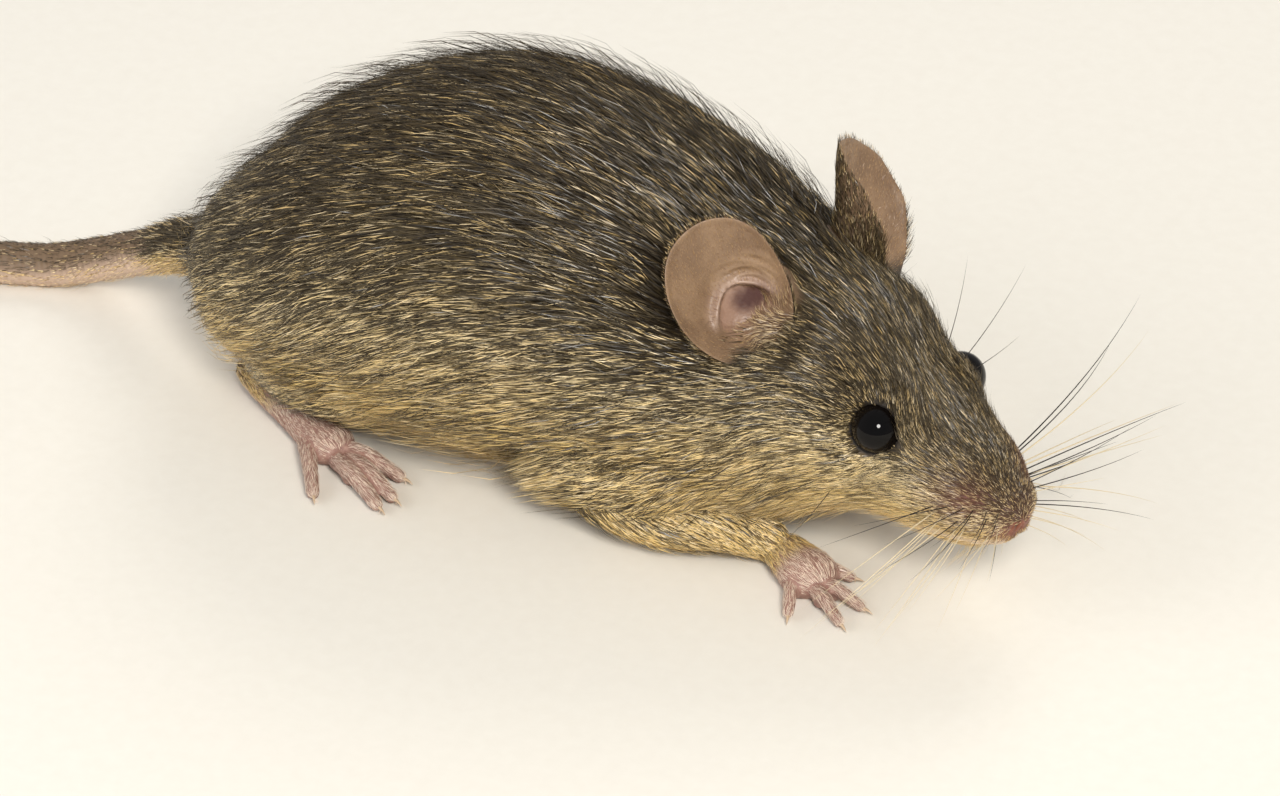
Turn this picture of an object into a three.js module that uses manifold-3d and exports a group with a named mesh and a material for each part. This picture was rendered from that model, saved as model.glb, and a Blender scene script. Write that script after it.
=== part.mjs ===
// A house mouse (Mus musculus), life size: a young adult crouched on all four feet, with its head
// turned a little to its right and its tail laid out behind it on the ground.
// Millimetres. +X is the way the trunk faces, +Y the mouse's left, +Z up, and the ground is z = 0.
//
// The flesh is built as lofts: a few sections, each given by its centre, half width, height above
// the centre and depth below it, are joined by a smooth curve and closed by round ends. The body is
// then parted by thin cuts into the pieces that a person would name.

import * as THREE from 'three';
import { ParametricGeometry } from 'three/addons/geometries/ParametricGeometry.js';
import { mergeVertices } from 'three/addons/utils/BufferGeometryUtils.js';
import Module from 'manifold-3d';

const wasm = await Module();
wasm.setup();

// ---------------------------------------------------------------------------- driving sizes

const GAP = 0.3;                 // clear space between neighbouring pieces
const HEAD_TURN = -17;           // degrees that the head is turned to the mouse's right
const BETWEEN_EYES = [22.0, -3.05, 13.5];
const EYE_RADIUS = 1.65;
const EYE_SPREAD = 4.1;          // from the middle of the head to an eye's centre
const EAR_THICKNESS = 0.55;
const EAR_ROUNDNESS = 0.8;       // below 1 the dish stays thick almost to its edge
const EAR_NARROWING = 0.22;      // how much narrower the ear is at its root
const EAR_BOWL = { depth: 1.3, above: 3.2, radius: 2.6 };
const EAR_SWEEP = 0.05;          // how fast the ear's top and root bend forward
const EAR_HOLLOW = { above: 3.9, ahead: 3.0, radius: 4.6 };
const EAR_HALF_WIDTH = { right: 4.6, left: 5.2 };   // the left ear is opened a little wider
const EAR_HALF_HEIGHT = 5.15;
const ROOT_IN_FUR = 0.4;         // how far the ear's root reaches below its own origin
const EAR_CUP_INNER = 3.3;       // radius of the ear's curl at its inner edge
const EAR_CUP_OUTER = 4.9;       // and at its outer edge
const EAR_CUP_OPENING = 0.12;    // growth of that radius with height
const TAIL_SINK = 0.1;           // how much of the tail's round is pressed flat on the ground
const REACH = 200;               // size of the blocks that cut and part the pieces

// How finely the solids are divided: round each ring, then along the body.
const BODY_DETAIL = { around: 24, along: 26 };
const JAW_DETAIL = { around: 10, along: 6 };
const PAD_DETAIL = { around: 8, along: 6 };
const NOSE_DETAIL = { around: 10, along: 6 };
const LEG_DETAIL = { around: 9, along: 6 };
const SOLE_DETAIL = { around: 8, along: 6 };
const TOE_DETAIL = { around: 6, along: 4 };
const TAIL_DETAIL = { around: 8, along: 30 };
const EAR_AROUND = 16;
const EAR_ACROSS = 7;

// Rump to nose: centre x, y, z, half width, height above it, depth below it.
const BODY = [
  [-33.0, -0.8, 7.3, 3.0, 3.0, 3.3],
  [-30.5, -1.0, 8.0, 5.8, 5.0, 5.6],
  [-26.0, -1.4, 9.5, 8.8, 7.7, 7.9],
  [-19.0, -1.0, 12.0, 12.0, 11.5, 10.8],
  [-10.0, -0.2, 13.6, 13.8, 14.4, 12.7],
  [-1.0, 0.2, 13.2, 13.5, 13.6, 12.9],
  [6.0, 0.0, 12.3, 12.4, 11.6, 12.1],
  [12.0, -0.8, 12.0, 10.6, 10.2, 11.2],
  [16.5, -1.8, 11.9, 8.3, 8.6, 9.0],
  [21.5, -3.1, 11.0, 5.75, 5.4, 5.8],
  [25.5, -4.3, 9.7, 4.5, 4.3, 4.1],
  [28.3, -5.1, 9.0, 3.3, 3.2, 3.2],
  [30.6, -5.8, 8.8, 1.9, 1.8, 2.1],
];
const BODY_ENDS = [3.0, 2.0];    // lengths of the round ends at the rump and the nose
const BELLY_SQUARENESS = 2.5;    // 2 is an ellipse; more fills out the lower corners

// Lower jaw, throat to chin: centre x, y, z and radius.
const JAW = [
  [14.0, -1.3, 8.2, 4.4],
  [20.0, -2.8, 7.8, 3.4],
  [24.0, -3.95, 6.7, 2.3],
  [27.4, -4.9, 6.2, 1.3],
];
const PAD = { ahead: 6.1, aside: 1.7, below: 5.0, radii: [2.6, 1.7, 1.9] };
const NOSE = { ahead: 9.2, below: 4.9, radii: [0.85, 1.15, 0.8] };

// Where each ear stands, as distances ahead of, aside from and above the point between the eyes,
// then the way it stands up and the way its hollow faces, measured the same way.
const EAR = { root: [-8.9, 5.5, 2.3], up: [-0.56, 0.1, 0.83], face: [0.72, 0.52, 0.46] };

// Limbs of the right side, as paths of x, y, z and radius.
const UPPER_ARM = [
  [6.0, -4.6, 11.0, 4.8],
  [3.0, -7.0, 8.0, 4.4],
  [0.6, -8.9, 5.3, 3.6],
];
const ARMPIT = [
  [-1.5, -7.6, 7.4, 5.1],
  [5.0, -8.0, 6.4, 4.6],
  [11.0, -5.0, 6.0, 2.6],
];
const FOREARM = [
  [0.4, -9.0, 5.1, 3.3],
  [5.2, -9.2, 3.5, 2.8],
  [10.5, -7.5, 2.6, 2.0],
  [14.2, -6.4, 1.4, 1.25],
];
const FORE_PALM = [
  [13.2, -6.2, 1.5, 1.3],
  [15.0, -7.2, 1.1, 1.7],
  [16.8, -8.2, 1.0, 2.0],
  [18.4, -9.0, 0.8, 1.3],
];
const FORE_TOES = {
  roots: [[14.9, -6.6], [16.2, -7.3], [17.4, -8.5], [17.1, -9.0], [15.7, -8.4]],
  tips: [[15.7, -5.4], [19.3, -6.45], [21.3, -9.2], [20.7, -11.5], [17.15, -12.3]],
  radius: 0.56,
};
const SHANK = [
  [-14.0, -7.6, 7.5, 5.0],
  [-21.5, -6.8, 5.6, 3.7],
  [-27.6, -3.9, 2.6, 1.6],
];
const HIND_SOLE = [
  [-28.6, -3.4, 1.2, 1.4],
  [-26.4, -5.0, 1.3, 1.6],
  [-21.8, -7.8, 1.15, 1.6],
  [-17.3, -10.4, 1.0, 1.9],
];
const HIND_TOES = {
  roots: [[-21.9, -7.2], [-18.4, -9.3], [-17.2, -10.2], [-17.9, -10.7], [-21.1, -8.9]],
  tips: [[-18.6, -5.7], [-12.6, -10.2], [-12.0, -12.6], [-12.5, -13.9], [-17.1, -14.8]],
  radius: 0.68,
};
const SOLE_FLATNESS = 0.72;      // height of a foot as a share of its width
// A toe's root and knuckle stand this far above its radius; the rest are shares of that radius.
const TOE = { rootLift: 0.2, knuckleLift: 0.3, knuckle: 0.95, tip: 0.72, claw: 0.28 };
const CLAW_LENGTH = 0.8;
const LEFT_FORE_SHIFT = [-1.5, 0.2];   // the left feet stand a little apart from a mirror image
const LEFT_HIND_SHIFT = [1.0, -0.6];
const MIDDLE_Y_FORE = 0.0;
const MIDDLE_Y_HIND = -0.8;

// Tail: centre x, y, z and radius. From the fifth point on it lies on the ground.
const TAIL_ROOT = [
  [-30.5, -0.7, 7.9, 2.0],
  [-35.0, -0.2, 6.7, 1.75],
  [-39.0, 0.6, 4.6, 1.65],
  [-43.0, 0.9, 2.6, 1.6],
];
const TAIL_ON_GROUND = [
  [-46.5, 0.2, 1.57],
  [-50.5, -1.4, 1.53],
  [-57.0, -4.6, 1.45],
  [-64.0, -7.0, 1.32],
  [-72.0, -7.6, 1.15],
  [-80.0, -6.2, 1.0],
  [-87.0, -3.5, 0.84],
  [-93.0, -0.8, 0.66],
  [-98.0, 1.5, 0.42],
];

// Cuts across the body and the tail: a point x, y and the turn of the plane in degrees.
const RUMP_TO_TRUNK = [-19, 0, 0];
const TRUNK_TO_CHEST = [-5, 0, 0];
const CHEST_TO_NECK = [3, 0, -6];
const NECK_TO_HEAD = [8.9, -0.7, -14];
const HEAD_TO_MUZZLE = [25.2, -4.2, -17];
const TAIL_CUTS = [[-46, 0.2, -12], [-64, -7, -14], [-81, -6, 18]];

// ---------------------------------------------------------------------------- colours

const FUR_BROWN = { color: 0x5b5039, roughness: 0.8 };
const FUR_PALE = { color: 0x9b8560, roughness: 0.8 };
const SKIN_PINK = { color: 0xb08c78, roughness: 0.55 };
const EAR_BROWN = { color: 0x957c60, roughness: 0.6 };
const EYE_BLACK = { color: 0x060505, roughness: 0.06 };
const TAIL_GREY = { color: 0xa08573, roughness: 0.6 };

// ---------------------------------------------------------------------------- curves

// Smooth curve through rows of numbers, spaced by the distance between their first three.
function smoothRows(rows) {
  const at = [0];
  for (let i = 1; i < rows.length; i += 1) {
    at.push(at[i - 1] + Math.hypot(...[0, 1, 2].map((k) => rows[i][k] - rows[i - 1][k])));
  }
  const last = rows.length - 1;
  const rate = (i, k) => (rows[i + 1][k] - rows[i][k]) / (at[i + 1] - at[i]);
  const slope = (i, k) => {
    if (i === 0) return rate(0, k);
    if (i === last) return rate(last - 1, k);
    const before = at[i] - at[i - 1];
    const after = at[i + 1] - at[i];
    return (rate(i, k) * before + rate(i - 1, k) * after) / (before + after);
  };
  const sample = (s) => {
    let i = 0;
    while (i < last - 1 && s > at[i + 1]) i += 1;
    const h = at[i + 1] - at[i];
    const u = (s - at[i]) / h;
    return rows[i].map((start, k) => start * (2 * u ** 3 - 3 * u ** 2 + 1)
      + h * slope(i, k) * (u ** 3 - 2 * u ** 2 + u)
      + rows[i + 1][k] * (3 * u ** 2 - 2 * u ** 3)
      + h * slope(i + 1, k) * (u ** 3 - u ** 2));
  };
  return { length: at[last], sample };
}

// Frame of a point on the curve: its centre, the mouse's left and the way up, square to the curve.
function frameAt(curve, s) {
  const step = 0.05;
  const before = new THREE.Vector3(...curve.sample(Math.max(0, s - step)));
  const after = new THREE.Vector3(...curve.sample(Math.min(curve.length, s + step)));
  const along = after.sub(before).normalize();
  const side = new THREE.Vector3(0, 0, 1).cross(along).normalize();
  return { side, top: along.cross(side) };
}

// ---------------------------------------------------------------------------- solids

// Closed solid from a geometry: shared points are merged and empty triangles dropped.
function solid(geometry) {
  const bare = geometry.clone();
  for (const name of ['normal', 'uv']) bare.deleteAttribute(name);
  const merged = mergeVertices(bare, 1e-4);
  const index = Array.from(merged.index.array);
  const kept = [];
  for (let i = 0; i < index.length; i += 3) {
    const [a, b, c] = index.slice(i, i + 3);
    if (a !== b && b !== c && c !== a) kept.push(a, b, c);
  }
  const vertProperties = new Float32Array(merged.attributes.position.array);
  const make = (triVerts) => new wasm.Manifold(
    new wasm.Mesh({ numProp: 3, vertProperties, triVerts: new Uint32Array(triVerts) }),
  );
  const made = make(kept);
  return made.volume() > 0 ? made : make(kept.reverse());
}

// Loft through rows of [x, y, z, half width, up, down], with round ends of the given lengths.
// grow swells it all round, which makes the pocket that another piece sits in.
function loft(rows, { ends, around, along, squareness = 2, grow = 0 }) {
  const curve = smoothRows(rows);
  const [startLength, endLength] = ends;
  const surface = (u, v, target) => {
    const even = (1 - Math.cos(Math.PI * v)) / 2;
    const s = curve.length * (even + v) / 2;
    const row = curve.sample(s);
    const { side, top } = frameAt(curve, s);
    const toStart = Math.max(0, 1 - s / startLength);
    const toEnd = Math.max(0, 1 - (curve.length - s) / endLength);
    const round = Math.sqrt(Math.max(0, 1 - toStart ** 2)) * Math.sqrt(Math.max(0, 1 - toEnd ** 2));
    const angle = 2 * Math.PI * (u % 1);
    const power = 2 / (Math.sin(angle) < 0 ? squareness : 2);
    const bent = (t) => Math.sign(t) * Math.abs(t) ** power;
    const reach = Math.sin(angle) > 0 ? row[4] : row[5];
    target.set(row[0], row[1], row[2])
      .addScaledVector(side, (row[3] + grow) * round * bent(Math.cos(angle)))
      .addScaledVector(top, (reach + grow) * round * bent(Math.sin(angle)));
  };
  return solid(new ParametricGeometry(surface, around, along));
}

// Round tube along rows of [x, y, z, radius]; flatness is its height as a share of its width.
function tube(rows, { around = 10, along = 8, flatness = 1, grow = 0 }) {
  const sections = rows.map(([x, y, z, r]) => [x, y, z, r, r * flatness, r * flatness]);
  const ends = [rows[0][3], rows[rows.length - 1][3]];
  return loft(sections, { ends, around, along, grow });
}

// Ball or egg about a centre, turned with the head when turn is given, in degrees.
function ball(centre, radii, { turn = 0, around = 10, along = 7 } = {}) {
  const geometry = new THREE.SphereGeometry(1, around, along);
  geometry.scale(...radii);
  geometry.rotateZ(THREE.MathUtils.degToRad(turn));
  geometry.translate(...centre);
  return solid(geometry);
}

// Block that fills everything on one side of an upright plane through x, y: ahead of it, or behind.
// Its face stands half a gap off the plane.
function block([x, y, turn], ahead) {
  const geometry = new THREE.BoxGeometry(REACH, REACH, REACH);
  geometry.translate((ahead ? 1 : -1) * (REACH + GAP) / 2, 0, 0);
  geometry.rotateZ(THREE.MathUtils.degToRad(turn));
  geometry.translate(x, y, 0);
  return solid(geometry);
}

const ground = solid(new THREE.BoxGeometry(2 * REACH, 2 * REACH, REACH).translate(0, 0, -REACH / 2));

const join = (...solids) => solids.reduce((whole, next) => whole.add(next));

// Place given by distances ahead of, aside from and above the point between the eyes.
const headTurn = THREE.MathUtils.degToRad(HEAD_TURN);
const headAhead = new THREE.Vector3(Math.cos(headTurn), Math.sin(headTurn), 0);
const headLeft = new THREE.Vector3(-Math.sin(headTurn), Math.cos(headTurn), 0);
const headUp = new THREE.Vector3(0, 0, 1);

function headWay([ahead, aside, above]) {
  return new THREE.Vector3()
    .addScaledVector(headAhead, ahead)
    .addScaledVector(headLeft, aside)
    .addScaledVector(headUp, above);
}

function headPlace(way) {
  return headWay(way).add(new THREE.Vector3(...BETWEEN_EYES)).toArray();
}

// ---------------------------------------------------------------------------- ears

// An ear is a thin round dish, narrower at its root and curled forward along both edges, most at
// the inner one, with a deeper bowl low down. side is 1 on the left and -1 on the right.
function earFrame(side) {
  const [standUp, facing] = [EAR.up, EAR.face].map(([ahead, aside, above]) => (
    headWay([ahead, side * aside, above]).normalize()));
  const face = facing.addScaledVector(standUp, -facing.dot(standUp)).normalize();
  const out = standUp.clone().cross(face).multiplyScalar(side);
  const [ahead, aside, above] = EAR.root;
  return { root: headPlace([ahead, side * aside, above]), up: standUp, face, out };
}

function ear(side, grow = 0) {
  const { root, up, face, out } = earFrame(side);
  const halfWidth = side < 0 ? EAR_HALF_WIDTH.right : EAR_HALF_WIDTH.left;
  const middle = EAR_HALF_HEIGHT - ROOT_IN_FUR;
  const surface = (u, v, target) => {
    const angle = 2 * Math.PI * (u % 1);
    const spread = Math.sin(Math.PI * v) ** EAR_ROUNDNESS;
    const narrowing = 1 - EAR_NARROWING * Math.max(0, -Math.sin(angle)) ** 1.5;
    const across = (halfWidth + grow) * narrowing * spread * Math.cos(angle);
    const height = middle + (EAR_HALF_HEIGHT + grow) * spread * Math.sin(angle);
    const curl = (across < 0 ? EAR_CUP_INNER : EAR_CUP_OUTER) + EAR_CUP_OPENING * height;
    const fromBowl = Math.hypot(height - EAR_BOWL.above, across) / EAR_BOWL.radius;
    const bowl = -EAR_BOWL.depth * Math.exp(-(fromBowl ** 2));
    const sweep = EAR_SWEEP * (height - middle) ** 2;
    const thickness = (EAR_THICKNESS / 2 + grow) * Math.cos(Math.PI * v);
    target.set(...root)
      .addScaledVector(up, height)
      .addScaledVector(out, curl * Math.sin(across / curl))
      .addScaledVector(face, curl * (1 - Math.cos(across / curl)) + bowl + sweep + thickness);
  };
  return solid(new ParametricGeometry(surface, EAR_AROUND, EAR_ACROSS));
}

// The hollow in the fur in front of an ear's bowl.
function earHollow(side) {
  const { root, up, face } = earFrame(side);
  const centre = new THREE.Vector3(...root)
    .addScaledVector(up, EAR_HOLLOW.above)
    .addScaledVector(face, EAR_HOLLOW.ahead);
  const radii = [EAR_HOLLOW.radius, EAR_HOLLOW.radius, EAR_HOLLOW.radius];
  return ball(centre.toArray(), radii, { turn: HEAD_TURN });
}

// ---------------------------------------------------------------------------- limbs

// Mirrors rows to the left side about a line, and shifts them on the ground.
function mirrored(rows, middle, [dx, dy]) {
  return rows.map(([x, y, ...rest]) => [x + dx, 2 * middle - y + dy, ...rest]);
}

// A toe runs from its root over a low knuckle to its tip, and ends in a claw.
function toe([rootX, rootY], [tipX, tipY], radius) {
  const long = Math.hypot(tipX - rootX, tipY - rootY);
  const clawX = tipX + (tipX - rootX) / long * CLAW_LENGTH;
  const clawY = tipY + (tipY - rootY) / long * CLAW_LENGTH;
  return tube([
    [rootX, rootY, radius + TOE.rootLift, radius],
    [(rootX + tipX) / 2, (rootY + tipY) / 2, radius + TOE.knuckleLift, radius * TOE.knuckle],
    [tipX, tipY, radius * (TOE.tip + 0.03), radius * TOE.tip],
    [clawX, clawY, radius * (TOE.claw + 0.17), radius * TOE.claw],
  ], TOE_DETAIL);
}

function foot(sole, roots, tips, radius) {
  const pad = tube(sole, { ...SOLE_DETAIL, flatness: SOLE_FLATNESS });
  const toes = roots.map((root, i) => toe(root, tips[i], radius));
  return join(pad, ...toes).subtract(ground);
}

// One limb of the given side: the leg, the foot, and the pocket that the leg needs in the body.
function limb(side, { leg, sole, toes, middle, shift }) {
  const place = side > 0 ? (rows) => mirrored(rows, middle, shift) : (rows) => rows;
  const bones = (grow) => join(...leg.map((rows) => tube(place(rows), { ...LEG_DETAIL, grow })));
  const heelRoom = tube(place(sole), { ...SOLE_DETAIL, flatness: SOLE_FLATNESS, grow: GAP });
  return {
    leg: bones(0).subtract(heelRoom).subtract(ground),
    foot: foot(place(sole), place(toes.roots), place(toes.tips), toes.radius),
    pocket: bones(GAP),
  };
}

// ---------------------------------------------------------------------------- assembly

const mouse = new THREE.Group();

function addPiece(name, piece, look) {
  const mesh = piece.getMesh();
  const geometry = new THREE.BufferGeometry();
  geometry.setAttribute('position', new THREE.BufferAttribute(mesh.vertProperties.slice(), 3));
  geometry.setIndex(new THREE.BufferAttribute(mesh.triVerts.slice(), 1));
  geometry.computeVertexNormals();
  const added = new THREE.Mesh(geometry, new THREE.MeshStandardMaterial(look));
  added.name = name;
  mouse.add(added);
}

const SIDES = [['right', -1], ['left', 1]];
const LIMBS = {
  fore: {
    leg: [UPPER_ARM, ARMPIT, FOREARM],
    sole: FORE_PALM,
    toes: FORE_TOES,
    middle: MIDDLE_Y_FORE,
    shift: LEFT_FORE_SHIFT,
  },
  hind: {
    leg: [SHANK],
    sole: HIND_SOLE,
    toes: HIND_TOES,
    middle: MIDDLE_Y_HIND,
    shift: LEFT_HIND_SHIFT,
  },
};

function buildBody() {
  let body = loft(BODY, { ...BODY_DETAIL, ends: BODY_ENDS, squareness: BELLY_SQUARENESS });
  body = join(body, tube(JAW, JAW_DETAIL));
  for (const [, side] of SIDES) {
    const centre = headPlace([PAD.ahead, side * PAD.aside, -PAD.below]);
    body = body.add(ball(centre, PAD.radii, { turn: HEAD_TURN, ...PAD_DETAIL }));
  }
  return body;
}

const noseCentre = headPlace([NOSE.ahead, 0, -NOSE.below]);
const tailRows = [...TAIL_ROOT, ...TAIL_ON_GROUND.map(([x, y, r]) => [x, y, r - TAIL_SINK, r])];
const grown = (radii) => radii.map((r) => r + GAP);

let body = buildBody();
body = body.subtract(ball(noseCentre, grown(NOSE.radii), { turn: HEAD_TURN }));
body = body.subtract(tube(tailRows, { ...TAIL_DETAIL, grow: GAP }));

for (const [name, side] of SIDES) {
  const eye = headPlace([0, side * EYE_SPREAD, 0]);
  const eyeRadii = [EYE_RADIUS, EYE_RADIUS, EYE_RADIUS];
  addPiece(`eye_${name}`, ball(eye, eyeRadii), EYE_BLACK);
  body = body.subtract(ball(eye, grown(eyeRadii)));

  addPiece(`ear_${name}`, ear(side), EAR_BROWN);
  body = body.subtract(earHollow(side)).subtract(ear(side, GAP));

  for (const [which, plan] of Object.entries(LIMBS)) {
    const made = limb(side, plan);
    addPiece(`${which}_leg_${name}`, made.leg, FUR_PALE);
    addPiece(`${which}_foot_${name}`, made.foot, SKIN_PINK);
    body = body.subtract(made.pocket);
  }
}

// Parts a long solid by its cuts, from its front end to its back.
function parted(whole, cuts) {
  return [...cuts, null].map((cut, i) => {
    const behindLast = i === 0 ? whole : whole.intersect(block(cuts[i - 1], false));
    return cut ? behindLast.intersect(block(cut, true)) : behindLast;
  });
}

const bodyCuts = [HEAD_TO_MUZZLE, NECK_TO_HEAD, CHEST_TO_NECK, TRUNK_TO_CHEST, RUMP_TO_TRUNK];
const bodyPieces = parted(body.subtract(ground), bodyCuts);
['muzzle', 'head', 'neck', 'chest', 'trunk', 'rump'].forEach((name, i) => {
  addPiece(name, bodyPieces[i], name === 'muzzle' ? FUR_PALE : FUR_BROWN);
});
addPiece('nose', ball(noseCentre, NOSE.radii, { turn: HEAD_TURN, ...NOSE_DETAIL }), SKIN_PINK);

const tail = tube(tailRows, TAIL_DETAIL).subtract(ground);
parted(tail, TAIL_CUTS).forEach((piece, i) => addPiece(`tail_${i + 1}`, piece, TAIL_GREY));

// The origin is under the middle of the whole animal, on the ground.
const box = new THREE.Box3().setFromObject(mouse);
const middle = box.getCenter(new THREE.Vector3());
mouse.position.set(-middle.x, -middle.y, -box.min.z);

export default mouse;
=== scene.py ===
"""House mouse, life size: one skin over the flesh, a coat of short tufts that lie back from the
nose, eyes, claws and whiskers.

Shapes are worked out in millimetres in the animal's own frame: +X the way the trunk faces, +Y its
left, +Z up, the ground at z = 0. publish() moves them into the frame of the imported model, in metres.
"""
import math

import bpy
import numpy as np
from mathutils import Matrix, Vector
from mathutils.kdtree import KDTree


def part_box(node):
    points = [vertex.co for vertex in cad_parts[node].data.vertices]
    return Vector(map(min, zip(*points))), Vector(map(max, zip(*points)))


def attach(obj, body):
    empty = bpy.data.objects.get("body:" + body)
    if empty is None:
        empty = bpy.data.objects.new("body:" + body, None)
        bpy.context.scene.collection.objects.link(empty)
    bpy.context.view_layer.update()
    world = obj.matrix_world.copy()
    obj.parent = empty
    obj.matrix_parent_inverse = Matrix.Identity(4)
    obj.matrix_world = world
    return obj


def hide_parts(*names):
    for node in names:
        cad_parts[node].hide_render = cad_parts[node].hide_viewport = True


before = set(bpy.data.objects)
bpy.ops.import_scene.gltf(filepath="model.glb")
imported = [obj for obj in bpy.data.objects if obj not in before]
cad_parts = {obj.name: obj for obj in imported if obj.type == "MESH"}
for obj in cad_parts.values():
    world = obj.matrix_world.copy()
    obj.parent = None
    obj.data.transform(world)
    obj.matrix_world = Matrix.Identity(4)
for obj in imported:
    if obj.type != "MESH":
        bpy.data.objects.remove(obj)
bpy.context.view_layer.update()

# ------------------------------------------------------------------------------ sizes, mm

MM = 0.001
HEAD_TURN = math.radians(-17.0)
BETWEEN_EYES = np.array([22.0, -3.05, 13.5])
EYE_RADIUS = 1.65
EYE_SPREAD = 4.1
EAR_THICKNESS = 0.42
EAR_HALF_WIDTH = {-1: 4.6, 1: 5.2}
EAR_HALF_HEIGHT = 5.15
EAR_CUP_INNER = 3.3
EAR_CUP_OUTER = 4.9
EAR_ROOT = (-8.9, 5.5, 2.3)      # ahead of, aside from and above the point between the eyes
EAR_UP = (-0.56, 0.10, 0.83)
EAR_FACE = (0.72, 0.52, 0.46)

# Rump to nose: centre x, y, z, half width, height above, depth below, out to the tips of the
# coat, then the coat's depth and the length of its hairs.
BODY = np.array([
    [-33.0, -0.8, 7.3, 3.0, 3.0, 3.3, 0.9, 3.6],
    [-30.5, -1.0, 8.0, 5.8, 5.0, 5.6, 1.3, 4.6],
    [-26.0, -1.4, 9.5, 8.8, 7.7, 7.9, 1.7, 5.8],
    [-19.0, -1.0, 12.0, 12.0, 11.5, 10.8, 2.0, 6.6],
    [-10.0, -0.2, 13.6, 13.8, 14.4, 12.7, 2.1, 6.9],
    [-1.0, 0.2, 13.2, 13.5, 13.6, 12.9, 2.0, 6.4],
    [6.0, 0.0, 12.3, 12.4, 11.6, 12.1, 1.8, 5.6],
    [12.0, -0.8, 12.0, 10.6, 10.2, 11.2, 1.4, 4.4],
    [16.5, -1.8, 11.9, 8.3, 8.6, 9.0, 0.9, 3.6],
    [21.5, -3.1, 11.0, 5.75, 5.4, 5.8, 0.5, 2.6],
    [25.5, -4.3, 9.7, 4.5, 4.3, 4.1, 0.25, 1.9],
    [28.3, -5.1, 9.0, 3.3, 3.2, 3.2, 0.12, 1.25],
    [30.6, -5.8, 8.8, 1.9, 1.8, 2.1, 0.05, 0.7],
])
BODY_START = 3.0                 # how much of each end is rounded
NOSE_END = 0.95
RUMP_TRIM = 1.0                  # the skin's rump stands inside the coat's by this much
NOSE_ROWS = np.array([           # the bare nose, which takes the place of the last row above
    [29.9, -5.6, 8.82, 2.0, 1.85, 2.15],
    [30.9, -5.9, 8.72, 1.50, 1.3, 1.35],
])
JAW = np.array([                 # throat to chin: centre x, y, z and radius
    [14.0, -1.3, 8.2, 4.4], [20.0, -2.8, 7.8, 3.4], [24.0, -3.95, 6.7, 2.3], [27.4, -4.9, 6.2, 1.3]])
JAW_TRIM = 0.35
PAD_PLACE = (6.1, 1.7, -5.0)
PAD_RADII = np.array([2.4, 1.55, 1.75])
BELLY_SQUARENESS = 2.5
EYE_OPENING = 1.62
NOSE_AHEAD, NOSE_ABOVE = 8.95, -4.9
BODY_RINGS, BODY_ROUNDS = 210, 168
RING_CLOSENESS = np.array([      # share of the way from rump to nose, and how close the rings stand
    [0.0, 3.0], [0.03, 1.4], [0.10, 1.0], [0.68, 1.0],
    [0.75, 2.5], [0.93, 3.0], [0.96, 7.0], [1.0, 9.0]])
HANDS = ((-1, "right"), (1, "left"))

UPPER_ARM = np.array([
    [6.0, -4.6, 11.0, 4.8], [3.0, -7.0, 8.0, 4.4], [0.6, -8.9, 5.3, 3.6]])
ARMPIT = np.array([[-1.5, -7.6, 7.4, 5.1], [5.0, -8.0, 6.4, 4.6], [11.0, -5.0, 6.0, 2.6]])
FOREARM = np.array([
    [0.4, -9.0, 5.1, 3.3], [5.2, -9.2, 3.5, 2.8], [10.5, -7.5, 2.6, 2.0], [14.2, -6.4, 1.4, 1.25]])
FORE_PALM = np.array([
    [13.2, -6.2, 1.5, 1.3], [15.0, -7.2, 1.1, 1.7], [16.8, -8.2, 1.0, 2.0], [18.4, -9.0, 0.8, 1.3]])
FORE_TOE_ROOTS = np.array([[14.9, -6.6], [16.2, -7.3], [17.4, -8.5], [17.1, -9.0], [15.7, -8.4]])
FORE_TOE_TIPS = np.array([[15.7, -5.4], [19.3, -6.45], [21.3, -9.2], [20.7, -11.5], [17.15, -12.3]])
FORE_TOE_RADIUS = 0.5
SHANK = np.array([[-14.0, -7.6, 7.5, 5.0], [-21.5, -6.8, 5.6, 3.7], [-27.6, -3.9, 2.6, 1.6]])
HIND_SOLE = np.array([
    [-28.6, -3.4, 1.2, 1.4], [-26.4, -5.0, 1.3, 1.6], [-21.8, -7.8, 1.15, 1.6], [-17.3, -10.4, 1.0, 1.9]])
HIND_TOE_ROOTS = np.array([[-21.9, -7.2], [-18.4, -9.3], [-17.2, -10.2], [-17.9, -10.7], [-21.1, -8.9]])
HIND_TOE_TIPS = np.array([[-18.6, -5.7], [-12.6, -10.2], [-12.0, -12.6], [-12.5, -13.9], [-17.1, -14.8]])
HIND_TOE_RADIUS = 0.6
SOLE_FLATNESS = 0.72
FOOT_VOXEL = 0.18
CLAW_LENGTH = 0.75
CLAW_RADIUS = 0.13
FORE_MIRROR = (0.0, -1.5, 0.2)   # the middle line's y, and how far the left foot is shifted in x, y
HIND_MIRROR = (-0.8, 1.0, -0.6)

TAIL_SINK = 0.1
TAIL_RISING = np.array([
    [-30.5, -0.7, 7.9, 2.0], [-35.0, -0.2, 6.7, 1.75], [-39.0, 0.6, 4.6, 1.65], [-43.0, 0.9, 2.6, 1.6]])
TAIL_ON_GROUND = np.array([
    [-46.5, 0.2, 1.57], [-50.5, -1.4, 1.53], [-57.0, -4.6, 1.45], [-64.0, -7.0, 1.32], [-72.0, -7.6, 1.15],
    [-80.0, -6.2, 1.0], [-87.0, -3.5, 0.84], [-93.0, -0.8, 0.66], [-98.0, 1.5, 0.42]])

# ------------------------------------------------------------------------------ small helpers


def unit(vectors):
    """Each vector divided by its length."""
    return vectors / np.maximum(np.linalg.norm(vectors, axis=-1, keepdims=True), 1e-9)


def smoothstep(low, high, x):
    """0 below low, 1 above high, an S between."""
    t = np.clip((x - low) / (high - low), 0.0, 1.0)
    return t * t * (3.0 - 2.0 * t)


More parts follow.
